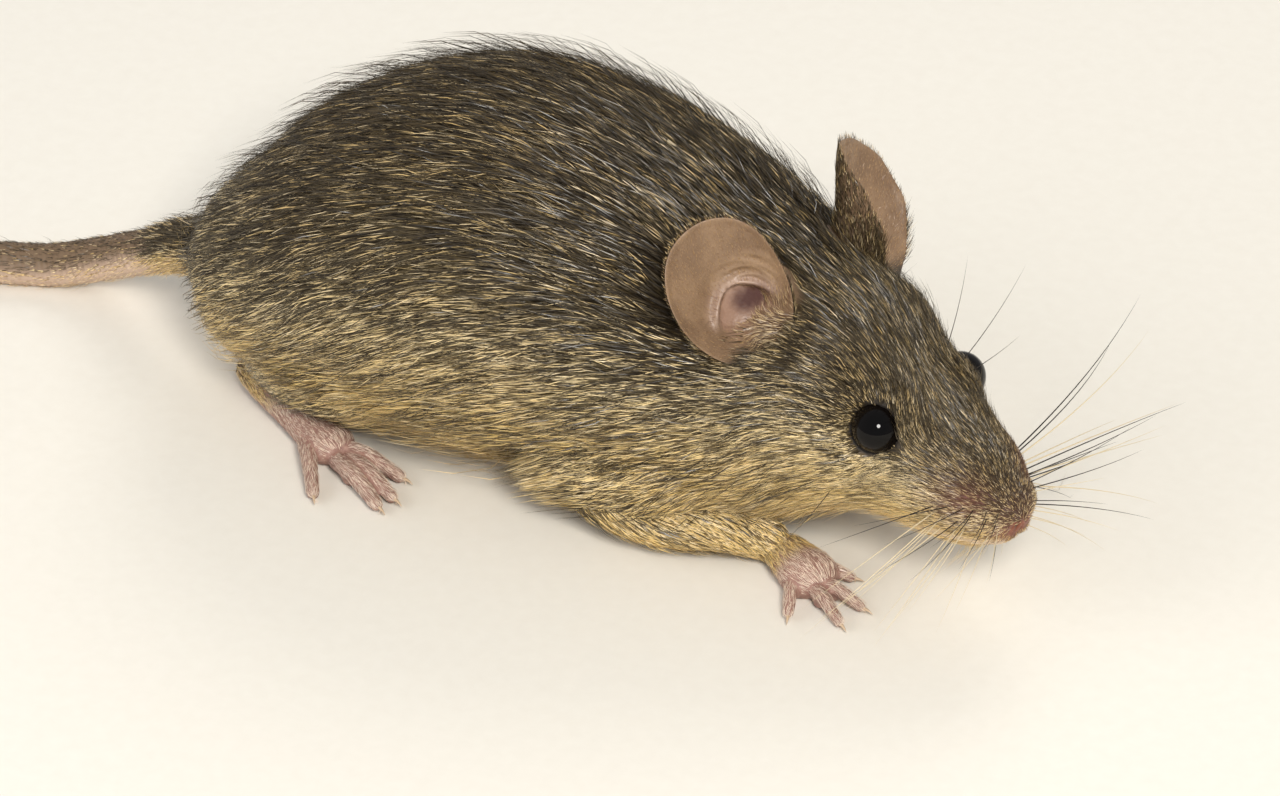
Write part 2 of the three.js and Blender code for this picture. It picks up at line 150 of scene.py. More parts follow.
def bump(x, width):
    """A bell of height 1 at 0."""
    return np.exp(-(x / width) ** 2)


def spline(rows, at):
    """Cubic through rows, whose first column says where each stands. The slope at a row is the
    mean of the slopes on its two sides, each weighted by the other side's length."""
    key, value = rows[:, 0], rows[:, 1:]
    span = np.diff(key)[:, None]
    rate = np.diff(value, axis=0) / span
    slope = np.empty_like(value)
    slope[0], slope[-1] = rate[0], rate[-1]
    slope[1:-1] = (rate[1:] * span[:-1] + rate[:-1] * span[1:]) / (span[:-1] + span[1:])
    i = np.clip(np.searchsorted(key, at, side="right") - 1, 0, len(key) - 2)
    u = ((at - key[i]) / (key[i + 1] - key[i]))[:, None]
    h = span[i]
    return (value[i] * (2 * u ** 3 - 3 * u ** 2 + 1) + h * slope[i] * (u ** 3 - 2 * u ** 2 + u)
            + value[i + 1] * (3 * u ** 2 - 2 * u ** 3) + h * slope[i + 1] * (u ** 3 - u ** 2))


def keyed(rows):
    """Rows with their distance along the line through their first three numbers put in front."""
    step = np.linalg.norm(np.diff(rows[:, :3], axis=0), axis=1)
    return np.column_stack([np.concatenate([[0.0], np.cumsum(step)]), rows])


HEAD_AHEAD = np.array([math.cos(HEAD_TURN), math.sin(HEAD_TURN), 0.0])
HEAD_LEFT = np.array([-math.sin(HEAD_TURN), math.cos(HEAD_TURN), 0.0])
HEAD_UP = np.array([0.0, 0.0, 1.0])
HEAD_AXES = np.stack([HEAD_AHEAD, HEAD_LEFT, HEAD_UP])


def head_way(ahead, aside, above):
    """A direction given ahead, to the left and up, as seen by the head."""
    return ahead * HEAD_AHEAD + aside * HEAD_LEFT + above * HEAD_UP


def head_place(ahead, aside, above):
    """A place given ahead of, to the left of and above the point between the eyes."""
    return BETWEEN_EYES + head_way(ahead, aside, above)


def head_coordinates(points):
    """The way back: ahead, aside and above for each point."""
    local = (points - BETWEEN_EYES) @ HEAD_AXES.T
    return local[..., 0], local[..., 1], local[..., 2]


EYES = {side: head_place(0.0, side * EYE_SPREAD, 0.0) for side in (-1, 1)}
EYE_LOOK = {side: unit(head_way(0.20, side * 0.93, 0.28)) for side in (-1, 1)}


def eye_coordinates(points, side):
    """How far each point stands out along an eye's look, and its offset square to that look."""
    from_eye = points - EYES[side]
    height = from_eye @ EYE_LOOK[side]
    return height, from_eye - height[..., None] * EYE_LOOK[side]


def ear_frame(side):
    """The ear's root, and its ways up, out and facing."""
    up = unit(head_way(EAR_UP[0], side * EAR_UP[1], EAR_UP[2]))
    face = head_way(EAR_FACE[0], side * EAR_FACE[1], EAR_FACE[2])
    face = unit(face - (face @ up) * up)
    root = head_place(EAR_ROOT[0], side * EAR_ROOT[1], EAR_ROOT[2])
    return root, up, side * np.cross(up, face), face


def ear_coordinates(points, side):
    """Each point up, out and ahead of an ear's root."""
    root, up, out, face = ear_frame(side)
    local = points - root
    return local @ up, local @ out, local @ face


EYE_LOW, EYE_HIGH = (np.array(corner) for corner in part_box("eye_right"))
MODEL_SHIFT = (EYE_LOW + EYE_HIGH) / 2 / MM - EYES[-1]

# ------------------------------------------------------------------------------ surfaces


def loft(rows, ends, rounds, stations, squareness=2.0, trim=(0.0, 0.0)):
    """Grid of a body along a curve. Each ring is an ellipse of half width w, reaching up above and
    down below its centre; the lower half may be squarer. Towards each end the rings shrink as the
    square root of 1 - t^2, which rounds it. stations run from 0 to 1 along the curve."""
    table = keyed(rows)
    start, end = trim[0], table[-1, 0] - trim[1]
    s = start + (end - start) * stations
    value = spline(table, s)
    step = 0.05
    low, high = np.clip(s - step, 0, table[-1, 0]), np.clip(s + step, 0, table[-1, 0])
    along = unit(spline(table, high)[:, :3] - spline(table, low)[:, :3])
    side = unit(np.cross([0.0, 0.0, 1.0], along))
    top = np.cross(along, side)
    to_start = np.clip(1 - (s - start) / ends[0], 0, 1)
    to_end = np.clip(1 - (end - s) / ends[1], 0, 1)
    shrink = np.sqrt(1 - to_start ** 2) * np.sqrt(1 - to_end ** 2)
    angle = np.linspace(0, 2 * math.pi, rounds, endpoint=False)
    power = 2 / np.where(np.sin(angle) < 0, squareness, 2.0)
    across = np.sign(np.cos(angle)) * np.abs(np.cos(angle)) ** power
    rise = np.sign(np.sin(angle)) * np.abs(np.sin(angle)) ** power
    reach = np.where(rise[None, :] > 0, value[:, 4:5], value[:, 5:6])
    return (value[:, None, :3]
            + side[:, None] * (value[:, 3] * shrink)[:, None, None] * across[None, :, None]
            + top[:, None] * (reach * shrink[:, None] * rise[None, :])[..., None])


def tube(rows, rounds=20, count=30, flatness=1.0):
    """Loft of round rings, or of rings flattened to a share of their width, with half-ball ends."""
    sections = np.column_stack([rows, rows[:, 3] * flatness, rows[:, 3] * flatness])
    even = np.linspace(0, 1, count)
    stations = 0.5 * (1 - np.cos(math.pi * even)) / 2 + 0.5 * even
    return loft(sections, (rows[0, 3], rows[-1, 3]), rounds, stations)


def ball(centre, radius, rounds=32, rings=18, axes=np.eye(3)):
    """Grid of an egg: rings of latitude about the first axis."""
    tilt = np.linspace(0, math.pi, rings)[:, None]
    angle = np.linspace(0, 2 * math.pi, rounds, endpoint=False)[None, :]
    local = np.stack([np.cos(tilt) + 0 * angle, np.sin(tilt) * np.cos(angle),
                      np.sin(tilt) * np.sin(angle)], -1) * radius
    return centre + local @ axes


def grid_normals(grid):
    """Outward unit normals of a grid whose columns close into a ring."""
    along = np.gradient(grid, axis=0)
    around = np.roll(grid, -1, axis=1) - np.roll(grid, 1, axis=1)
    normal = np.cross(around, along)
    flat = np.linalg.norm(normal, axis=-1) < 1e-7
    normal = unit(normal)
    centre = grid.mean(axis=1, keepdims=True)
    sign = np.sign(np.sum((grid - centre) * normal, axis=-1).mean())
    normal = normal * sign
    if flat[0].any():
        normal[0] = unit(normal[1].mean(axis=0))
    if flat[-1].any():
        normal[-1] = unit(normal[-2].mean(axis=0))
    return normal


def closed_faces(grid):
    """Points and faces of a grid whose columns close into a ring, with each end row one point."""
    rings, rounds = grid.shape[:2]
    inner = grid[1:-1].reshape(-1, 3)
    points = np.concatenate([grid[0].mean(0)[None], inner, grid[-1].mean(0)[None]])
    index = 1 + np.arange((rings - 2) * rounds).reshape(rings - 2, rounds)
    after = np.roll(index, -1, axis=1)
    quads = np.stack([index[:-1], after[:-1], after[1:], index[1:]], -1).reshape(-1, 4)
    last = len(points) - 1
    first_fan = np.stack([np.zeros(rounds, int), after[0], index[0]], -1)
    last_fan = np.stack([np.full(rounds, last), index[-1], after[-1]], -1)
    faces = quads.tolist() + first_fan.tolist() + last_fan.tolist()
    triangles = points[np.concatenate([quads[:, [0, 1, 2]], quads[:, [0, 2, 3]], first_fan])]
    volume = np.einsum("ij,ij->", triangles[:, 0], np.cross(triangles[:, 1], triangles[:, 2]))
    if volume < 0:
        faces = [face[::-1] for face in faces]
    return points, faces


# ------------------------------------------------------------------------------ meshes


def publish(name, points, faces, attributes=None, uv=None, smooth=True):
    """A mesh object in the model's frame, from millimetre points, with its number attributes per
    point and its OFBake map per corner."""
    mesh = bpy.data.meshes.new(name)
    placed = ((np.asarray(points, dtype=float) + MODEL_SHIFT) * MM).astype(np.float32)
    if isinstance(faces, np.ndarray):
        count, corners = faces.shape
        mesh.vertices.add(len(placed))
        mesh.vertices.foreach_set("co", placed.ravel())
        mesh.loops.add(count * corners)
        mesh.loops.foreach_set("vertex_index", faces.astype(np.int32).ravel())
        mesh.polygons.add(count)
        mesh.polygons.foreach_set("loop_start", np.arange(0, count * corners, corners, dtype=np.int32))
        mesh.update(calc_edges=True)
    else:
        mesh.from_pydata(placed.tolist(), [], faces)
    mesh.polygons.foreach_set("use_smooth", np.full(len(mesh.polygons), smooth))
    for key, values in (attributes or {}).items():
        layer = mesh.attributes.new(key, "FLOAT", "POINT")
        layer.data.foreach_set("value", np.asarray(values, dtype=np.float32).ravel())
    if uv is not None:
        layer = mesh.uv_layers.new(name="OFBake")
        layer.data.foreach_set("uv", uv.astype(np.float32).ravel())
    return linked(name, mesh)


def linked(name, data):
    """An object in the scene, made of the given mesh, camera or lamp."""
    made = bpy.data.objects.new(name, data)
    bpy.context.scene.collection.objects.link(made)
    return made


def scratch(points, faces):
    """A mesh object in millimetres, for the joins that make the skin."""
    mesh = bpy.data.meshes.new("scratch")
    mesh.from_pydata(np.asarray(points).tolist(), [], faces)
    return linked("scratch", mesh)


def with_modifier(thing, kind, **settings):
    """Points and faces of an object once a modifier is applied."""
    modifier = thing.modifiers.new(kind.lower(), kind)
    for key, value in settings.items():
        setattr(modifier, key, value)
    evaluated = thing.evaluated_get(bpy.context.evaluated_depsgraph_get())
    mesh = evaluated.to_mesh()
    points = np.empty(len(mesh.vertices) * 3, np.float32)
    mesh.vertices.foreach_get("co", points)
    faces = [tuple(face.vertices) for face in mesh.polygons]
    evaluated.to_mesh_clear()
    thing.modifiers.remove(modifier)
    return points.reshape(-1, 3).astype(float), faces


def discard(*things):
    """Removes scratch objects."""
    for thing in things:
        mesh = thing.data
        bpy.data.objects.remove(thing)
        bpy.data.meshes.remove(mesh)


def merged(shapes, voxel):
    """One closed surface round several closed grids, remade as even squares of the voxel's size."""
    points, faces, base = [], [], 0
    for grid in shapes:
        p, f = closed_faces(grid)
        points.append(p)
        faces += [tuple(i + base for i in face) for face in f]
        base += len(p)
    thing = scratch(np.concatenate(points), faces)
    result = with_modifier(thing, "REMESH", mode="VOXEL", voxel_size=voxel)
    discard(thing)
    return result


def edges_of(faces, count):
    """Each edge once, as an array of point pairs."""
    first = np.concatenate([np.array(face) for face in faces])
    second = np.concatenate([np.roll(np.array(face), -1) for face in faces])
    low, high = np.minimum(first, second), np.maximum(first, second)
    return np.stack(np.divmod(np.unique(low * count + high), count), -1)


def relaxed(points, edges, weight, rounds):
    """Moves each point towards the mean of its neighbours by its weight, a number of times."""
    count = len(points)
    degree = np.bincount(edges.ravel(), minlength=count)[:, None]
    for _ in range(rounds):
        total = np.zeros_like(points)
        for axis in range(3):
            total[:, axis] = (np.bincount(edges[:, 0], points[edges[:, 1], axis], count)
                              + np.bincount(edges[:, 1], points[edges[:, 0], axis], count))
        points = points + weight[:, None] * (total / np.maximum(degree, 1) - points)
    return points


# ------------------------------------------------------------------------------ head and body


def body_stations():
    """Where the skin's rings stand: even along the trunk, closer on the head, closest at the nose."""
    fine = np.linspace(0, 1, 2000)
    total = np.cumsum(np.interp(fine, RING_CLOSENESS[:, 0], RING_CLOSENESS[:, 1]))
    total = (total - total[0]) / (total[-1] - total[0])
    return np.interp(np.linspace(0, 1, BODY_RINGS), total, fine)


def body_skin_rows():
    """The body's rows with the coat's depth taken off, and the nose."""
    rows = BODY[:-1, :6].copy()
    rows[:, 3:6] -= BODY[:-1, 6:7]
    return np.concatenate([rows, NOSE_ROWS])


def seat_eye(grid, side):
    """Shapes the lids. Seen along the eye's look, the skin within the opening drops inside the
    eyeball, rises round it in a narrow rim, and meets the cheek about a millimetre out."""
    height, flat = eye_coordinates(grid, side)
    lengthwise = flat @ HEAD_AHEAD
    radius = np.linalg.norm(flat, axis=-1)
    corner = 1 + 0.07 * (np.abs(lengthwise) / np.maximum(radius, 1e-6)) ** 6
    r = radius / corner
    margin = np.clip(0.30 - 0.20 * lengthwise / EYE_OPENING, 0.10, 0.50)
    past = r - EYE_OPENING
    rim = margin + 0.08 * bump(past - 0.10, 0.12)
    wanted = rim * smoothstep(-0.12, 0.04, past)
    hold = 1 - smoothstep(0.14, 0.85, past)
    near = (past < 1.5) & (height > -1.6)
    change = np.where(near, hold * (wanted - height), 0.0)
    return grid + change[..., None] * EYE_LOOK[side]


def jaw_and_pads(grid):
    """Moves the skin out along its normal until it clears the jaw's tube and the two whisker pads,
    then softens the joins."""
    normal = grid_normals(grid)
    shape = grid.shape[:2]
    jaw = JAW - np.array([0, 0, 0, JAW_TRIM])
    touched = np.zeros(shape)
    for _ in range(6):
        inside = -gap_to(grid.reshape(-1, 3), jaw, 40).reshape(shape)
        for side in (-1, 1):
            centre = head_place(PAD_PLACE[0], side * PAD_PLACE[1], PAD_PLACE[2])
            local = ((grid - centre) @ HEAD_AXES.T) / PAD_RADII
            inside = np.maximum(inside, (1 - np.linalg.norm(local, axis=-1)) * PAD_RADII.min())
        push = np.maximum(inside, 0)
        touched = np.maximum(touched, push > 0)
        grid = grid + push[..., None] * normal
    _, _, above = head_coordinates(grid)
    near = smooth_grid(np.repeat(touched[..., None], 3, axis=-1), np.full(shape, 0.8), 10)[..., 0]
    return smooth_grid(grid, 0.8 * smoothstep(0.0, 0.4, near) * (above < 0), 14)


def face_relief(grid):
    """Cheeks, temples, brows, the mouth line with a lip over it, the groove under the nose and the chin,
    as heights along the skin's normal."""
    ahead, aside, above = head_coordinates(grid)
    normal = grid_normals(grid)
    cheeks = 0.40 * smoothstep(2.5, 5, np.abs(aside)) * bump(ahead + 2.5, 3.2) * bump(above + 4.5, 3.0)
    temple = -0.25 * bump(ahead - 3.4, 1.5) * bump(np.abs(aside) - 3.3, 1.3) * bump(above + 1.4, 1.6)
    mouth_height = -6.55 - 0.10 * (8.6 - ahead) + 0.015 * (8.6 - ahead) ** 2
    mouth = smoothstep(3.8, 5.2, ahead) * (1 - smoothstep(8.9, 9.4, ahead))
    over_mouth = above - mouth_height
    lips = (-0.42 * bump(over_mouth, 0.17) + 0.12 * bump(over_mouth - 0.4, 0.3)) * mouth
    cleft = -0.25 * bump(aside, 0.14) * smoothstep(8.3, 8.9, ahead) * smoothstep(-6.6, -6.2, above) \
        * (1 - smoothstep(-5.7, -5.3, above))
    brow = 0.45 * bump(np.abs(aside) - 2.6, 1.0) * bump(ahead - 1.2, 1.9) * smoothstep(-0.2, 0.7, above)
    height = cheeks + temple + brow + lips + cleft
    chin = smoothstep(6.0, 9.0, ahead) * (1 - smoothstep(-0.3, 0.05, over_mouth))
    return grid + height[..., None] * normal - (1.5 * chin)[..., None] * HEAD_AHEAD


def nose_relief(grid):
    """A crease behind the bare nose, its two nostrils, each a hole with a comma that sweeps out and
    back, the cleft between them, and the rounded wing over each."""
    ahead, aside, above = head_coordinates(grid)
    above = above - NOSE_ABOVE
    out = np.abs(aside)
    forward = ahead - NOSE_AHEAD
    tip = smoothstep(0.05, 0.35, forward)
    crease = 0.13 * bump(forward + 0.42, 0.2) * smoothstep(-0.75, -0.3, above)
    wing = -0.16 * bump(out - 0.72, 0.26) * bump(above - 0.18, 0.32) * smoothstep(-0.2, 0.3, forward)
    hole = 0.42 * bump(out - 0.46, 0.17) * bump(above + 0.14, 0.16) * tip
    comma = 0.24 * bump(out - 0.74, 0.20) * bump(above + 0.02, 0.11) * bump(forward - 0.3, 0.3)
    cleft = 0.14 * bump(aside, 0.09) * tip * (1 - smoothstep(0.25, 0.55, above))
    inward = unit(head_place(NOSE_AHEAD - 0.6, 0.0, NOSE_ABOVE) - grid)
    return grid + (crease + wing + hole + comma + cleft)[..., None] * inward


HOLLOW_UP, HOLLOW_AHEAD = 3.3, 2.7                # of the ear's root
HOLLOW_RADII = np.array([3.6, 3.6, 3.9])
HOLLOW_DEPTH = 2.6


def press_hollow(grid, side):
    """Presses the skin in front of the ear's bowl onto the far side of an egg, along the normal."""
    root, up, _, face = ear_frame(side)
    centre = root + HOLLOW_UP * up + HOLLOW_AHEAD * face
    normal = grid_normals(grid)
    q = ((grid - centre) @ HEAD_AXES.T) / HOLLOW_RADII
    d = (-normal @ HEAD_AXES.T) / HOLLOW_RADII
    a, b, c = (d * d).sum(-1), (q * d).sum(-1), (q * q).sum(-1) - 1
    inside = c < 0
    reach = np.where(inside, (-b + np.sqrt(np.maximum(b * b - a * c, 0))) / a, 0.0)
    return grid - np.minimum(reach, HOLLOW_DEPTH)[..., None] * normal


def smooth_grid(grid, weight, rounds):
    """Averages a ring grid with its four neighbours where weight says so."""
    for _ in range(rounds):
        mean = (np.roll(grid, 1, axis=1) + np.roll(grid, -1, axis=1)) / 4
        mean[1:-1] += (grid[:-2] + grid[2:]) / 4
        mean[0] += grid[0] / 2
        mean[-1] += grid[-1] / 2
        grid = grid + weight[..., None] * (mean - grid)
    return grid


def body_grid():
    """The skin of the body from rump to nose, with the whole face worked in."""
    ends, trim = (BODY_START, NOSE_END), (RUMP_TRIM, 0.0)
    grid = loft(body_skin_rows(), ends, BODY_ROUNDS, body_stations(), BELLY_SQUARENESS, trim)
    for side in (-1, 1):
        grid = press_hollow(grid, side)
        root, up, _, face = ear_frame(side)
        near = np.linalg.norm(grid - (root + HOLLOW_UP * up + 2.0 * face), axis=-1)
        grid = smooth_grid(grid, 0.8 * (1 - smoothstep(4.5, 6.5, near)), 12)
    grid = face_relief(jaw_and_pads(grid))
    for side in (-1, 1):
        grid = seat_eye(grid, side)
    return nose_relief(grid)


# ------------------------------------------------------------------------------ ears

EAR_RINGS, EAR_ROUNDS = 84, 120
EAR_BOWL = (-0.4, 2.9)           # across and up from the ear's root
EAR_CANAL = (-1.1, 3.55)
CANAL_SIZE = (1.6, 1.15)
CANAL_CLEARED = 2.0              # no body hair crosses the bowl this near to the canal
EAR_FOLDS = (                    # radius about the bowl, width, height, and the degrees it runs from and to
    (2.05, 0.30, 0.85, -12, 178),
    (2.62, 0.17, 0.38, 48, 172),
    (3.08, 0.17, 0.34, 62, 168),
    (3.55, 0.19, 0.28, 72, 162),
    (4.10, 0.24, 0.18, 80, 152),
)


def ear_grid(side):
    """A thin round dish, narrower at its root and curled forward along both edges, most at the
    inner one, with a bowl low down. Three curved folds stand round the bowl on its front face,
    and the rim is a thin roll."""
    root, up, out, face = ear_frame(side)
    tilt = np.linspace(0, math.pi, EAR_RINGS)[:, None]
    angle = np.linspace(0, 2 * math.pi, EAR_ROUNDS, endpoint=False)[None, :]
    spread = np.sin(tilt) ** 0.8
    narrowing = 1 - 0.22 * np.maximum(0, -np.sin(angle)) ** 1.5
    across = EAR_HALF_WIDTH[side] * narrowing * spread * np.cos(angle)
    height = EAR_HALF_HEIGHT - 0.4 + EAR_HALF_HEIGHT * spread * np.sin(angle)
    curl = np.where(across < 0, EAR_CUP_INNER, EAR_CUP_OUTER) + 0.12 * height
    bowl = -1.3 * np.exp(-((height - 3.2) / 2.6) ** 2 - (across / 2.6) ** 2)
    sweep = 0.05 * (height - 5) ** 2
    from_bowl = np.hypot(across - EAR_BOWL[0], height - EAR_BOWL[1])
    turn = np.degrees(np.arctan2(height - EAR_BOWL[1], across - EAR_BOWL[0]))
    front = np.maximum(np.cos(tilt), 0) ** 0.4
    folds = 0.0
    for radius, wide, tall, start, stop in EAR_FOLDS:
        along = smoothstep(start, start + 40, turn) * (1 - smoothstep(stop - 25, stop, turn))
        wander = 0.10 * np.sin(0.07 * turn + 4.0 * radius)
        folds = folds + tall * bump(from_bowl - radius - wander, wide) * along
    pit = np.hypot((across - EAR_CANAL[0]) / CANAL_SIZE[0], (height - EAR_CANAL[1]) / CANAL_SIZE[1])
    canal = -1.1 * bump(pit, 0.62) - 0.5 * smoothstep(1.6, 3.8, height) * bump(from_bowl, 1.6)
    rim = 0.10 * bump(spread - 0.97, 0.05)
    ripple = 0.05 * np.sin(9 * angle + 2.0) * smoothstep(0.75, 1.0, spread)
    thickness = EAR_THICKNESS / 2 * np.cos(tilt)
    dish = curl * (1 - np.cos(across / curl)) + bowl + sweep + ripple
    depth = dish + thickness + front * (folds + canal + rim)
    return (root + height[..., None] * up + (curl * np.sin(across / curl))[..., None] * out
            + depth[..., None] * face)


# ------------------------------------------------------------------------------ limbs and tail


def mirrored(rows, mirror):
    """Rows for the left side."""
    middle, dx, dy = mirror
    moved = rows.copy()
    moved[:, 0] += dx
    moved[:, 1] = 2 * middle - rows[:, 1] + dy
    return moved


def toe_rows(root, tip, radius):
    """A toe's path: over a low knuckle, down to a soft pad at the tip."""
    lift = [radius + 0.25, radius + 0.55, radius + 0.15, radius * 0.72]
    share = [0.0, 0.42, 0.78, 1.0]
    width = [radius, radius * 1.02, radius * 0.86, radius * 0.80]
    return np.array([[*(root + t * (tip - root)), z, r] for t, z, r in zip(share, lift, width)])


def foot_shapes(sole, roots, tips, radius):
    """The foot's pad and toes, with the balls of tissue under the roots of the toes."""
    shapes = [tube(sole, 24, 30, SOLE_FLATNESS)]
    for root, tip in zip(roots, tips):
        shapes.append(tube(toe_rows(root, tip, radius), 14, 22))
        pad = root + 0.35 * (tip - root)
        shapes.append(ball(np.array([*pad, 0.42]), np.array([0.55, 0.5, 0.42]), 14, 8))
    return shapes


LIMBS = {
    "fore": dict(leg=(UPPER_ARM, ARMPIT, FOREARM), sole=FORE_PALM, roots=FORE_TOE_ROOTS, tips=FORE_TOE_TIPS,
                 radius=FORE_TOE_RADIUS, mirror=FORE_MIRROR),
    "hind": dict(leg=(SHANK,), sole=HIND_SOLE, roots=HIND_TOE_ROOTS, tips=HIND_TOE_TIPS,
                 radius=HIND_TOE_RADIUS, mirror=HIND_MIRROR),
}


def limb_rows(which, side):
    """The rows of one limb: its leg's tubes, sole, toe roots and toe tips, on the given side."""
    plan = LIMBS[which]
    move = (lambda rows: rows) if side < 0 else (lambda rows: mirrored(rows, plan["mirror"]))
    return [move(rows) for rows in plan["leg"]], move(plan["sole"]), move(plan["roots"]), move(plan["tips"])


def tail_rows():
    """The tail's centre line and radius, pressed a little flat where it lies on the ground."""
    laid = np.column_stack([TAIL_ON_GROUND[:, :2], TAIL_ON_GROUND[:, 2] - TAIL_SINK, TAIL_ON_GROUND[:, 2]])
    return np.concatenate([TAIL_RISING, laid])


LEG_COAT = (0.9, 0.12)           # depth of the coat at the top of the last tube and at its end


def leg_rows(which, side):
    """The tubes of one leg's skin, thinner than the coat's by its depth."""
    legs, _, _, _ = limb_rows(which, side)
    slim = [rows.copy() for rows in legs]
    for rows in slim[:-1]:
        rows[:, 3] -= LEG_COAT[0]
    slim[-1][:, 3] -= np.linspace(*LEG_COAT, len(slim[-1]))
    return slim


TAIL_RINGS, TAIL_ROUNDS = 560, 20


def tail_grid():
    """The tail, with a low ridge round it for each ring of scales."""
    rows = tail_rows()
    sections = np.column_stack([rows, rows[:, 3], rows[:, 3]])
    sections[:, 3:6] -= 0.05
    grid = loft(sections, (2.0, 0.4), TAIL_ROUNDS, np.linspace(0, 1, TAIL_RINGS))
    distance = np.linspace(0, keyed(rows)[-1, 0], TAIL_RINGS)
    ridge = 0.03 * np.sin(2 * math.pi * distance / 0.52) * smoothstep(0.5, 3, distance)
    grid += grid_normals(grid) * ridge[:, None, None]
    grid[..., 2] = np.maximum(grid[..., 2], 0.0)
    return grid


# ------------------------------------------------------------------------------ skin


def joined(shapes):
    """The union of closed shapes, each given as points and faces."""
    things = [scratch(points, faces) for points, faces in shapes]
    base = things[0]
    for other in things[1:-1]:
        union = base.modifiers.new("union", "BOOLEAN")
        union.operation, union.solver, union.object = "UNION", "MANIFOLD", other
    result = with_modifier(base, "BOOLEAN", operation="UNION", solver="MANIFOLD", object=things[-1])
    discard(*things)
    return result


def gap_to(points, rows, samples):
    """How far each point stands off a tube of the given rows; negative inside it."""
    table = keyed(rows[:, :4])
    along = spline(table, np.linspace(0, table[-1, 0], samples))
    nearest = np.full(len(points), 1e9)
    for x, y, z, r in along:
        nearest = np.minimum(nearest, np.sqrt(((points - (x, y, z)) ** 2).sum(-1)) - r)
    return nearest


def inside_body(points, margin):
    """Whether each point lies inside the body's skin by more than the margin."""
    rows = body_skin_rows()
    table = keyed(rows)
    dense = spline(table, np.linspace(0, table[-1, 0], 400))
    at = [np.interp(points[:, 0], dense[:, 0], dense[:, k]) for k in range(1, 6)]
    dy, dz = np.abs(points[:, 1] - at[0]), points[:, 2] - at[1]
    power = np.where(dz < 0, BELLY_SQUARENESS, 2.0)
    high = np.where(dz < 0, at[4], at[3]) - margin
    wide = at[2] - margin
    filled = (dy / np.maximum(wide, 0.01)) ** power + (np.abs(dz) / np.maximum(high, 0.01)) ** power
    return (filled < 1) & (points[:, 0] > rows[0, 0] + 1.2) & (points[:, 0] < rows[-1, 0])


def build_skin():
    """Points and faces of the whole skin."""
    shapes = [closed_faces(body_grid()), closed_faces(tail_grid())]
    for side in (-1, 1):
        shapes.append(closed_faces(ear_grid(side)))
        for which, plan in LIMBS.items():
            _, sole, roots, tips = limb_rows(which, side)
            for rows in leg_rows(which, side):
                shapes.append(closed_faces(tube(rows, 40, 40)))
            points, faces = merged(foot_shapes(sole, roots, tips, plan["radius"]), FOOT_VOXEL)
            points = relaxed(points, edges_of(faces, len(points)), np.full(len(points), 0.5), 5)
            points[:, 2] = np.maximum(points[:, 2], 0.0)
            shapes.append((points, faces))
    points, faces = joined(shapes)
    edges = edges_of(faces, len(points))
    soften = np.zeros(len(points))
    places = [np.array([-33.0, -0.5, 7.2, 2.6])]
    for side in (-1, 1):
        root, up, _, face = ear_frame(side)
        places.append(np.array([*(root + 0.5 * up - 0.5 * face), 2.2]))
        for which in LIMBS:
            legs, sole, _, _ = limb_rows(which, side)
            places.append(np.array([*sole[1, :3], 2.4]))
            places.append(np.array([*legs[-1][0, :3], 7.0]))
    for x, y, z, reach in places:
        away = np.linalg.norm(points - (x, y, z), axis=1)
        soften = np.maximum(soften, 0.6 * (1 - smoothstep(reach * 0.6, reach, away)))
    points = relaxed(points, edges, soften, 8)
    points[:, 2] = np.maximum(points[:, 2], 0.0)
    return points, faces


# ------------------------------------------------------------------------------ markings
# Numbers that say what the skin is at a place, and where shade and highlights are painted on it. The coat
# takes the same numbers at each hair's root, so that skin and coat carry the same markings.


def share_of_ears(points):
    """1 on either ear's dish, 0 off it."""
    share = np.zeros(len(points))
    for side in (-1, 1):
        height, across, depth = ear_coordinates(points, side)
        reach = np.hypot(across / 5.2, (height - 5.2) / 5.6)
        sheet = np.clip(across, -4.6, 4.6) ** 2 / 9.0
        near = bump(np.maximum(np.abs(depth - sheet) - 1.6, 0), 0.8)
        share = np.maximum(share, (1 - smoothstep(0.98, 1.12, reach)) * near * smoothstep(0.2, 1.6, height))
    return share


def share_of_feet(points):
    """1 on the feet, fading to 0 just above wrist and ankle."""
    share = np.zeros(len(points))
    for side in (-1, 1):
        for which in LIMBS:
            _, sole, roots, tips = limb_rows(which, side)
            gap = gap_to(points, sole, 12)
            for root, tip in zip(roots, tips):
                gap = np.minimum(gap, gap_to(points, toe_rows(root, tip, 0.7), 6))
            low = 1 - smoothstep(2.2, 3.4, points[:, 2])
            share = np.maximum(share, (1 - smoothstep(0.25, 0.7, gap)) * low)
    return share


def tail_place(points):
    """Distance along the tail from its root, how far off its surface each point stands, and its
    level, from -1 at the tail's underside to 1 at its top."""
    table = keyed(tail_rows())
    at = np.linspace(0, table[-1, 0], 150)
    line = spline(table, at)
    best, where, level = np.full(len(points), 1e9), np.zeros(len(points)), np.zeros(len(points))
    for s, (x, y, z, r) in zip(at, line):
        gap = np.sqrt(((points - (x, y, z)) ** 2).sum(-1)) - r
        closer = gap < best
        best[closer], where[closer] = gap[closer], s
        level[closer] = (points[closer, 2] - z) / r
    return where, best, level


def body_height(points):
    """-1 at the belly's lowest line, 0 at the widest, 1 along the spine."""
    rows = body_skin_rows()
    table = keyed(rows)
    dense = spline(table, np.linspace(0, table[-1, 0], 300))
    x = points[:, 0]
    z0, up, down = (np.interp(x, dense[:, 0], dense[:, k]) for k in (2, 4, 5))
    dz = points[:, 2] - z0
    return np.clip(np.where(dz > 0, dz / up, dz / down), -1.2, 1.2)


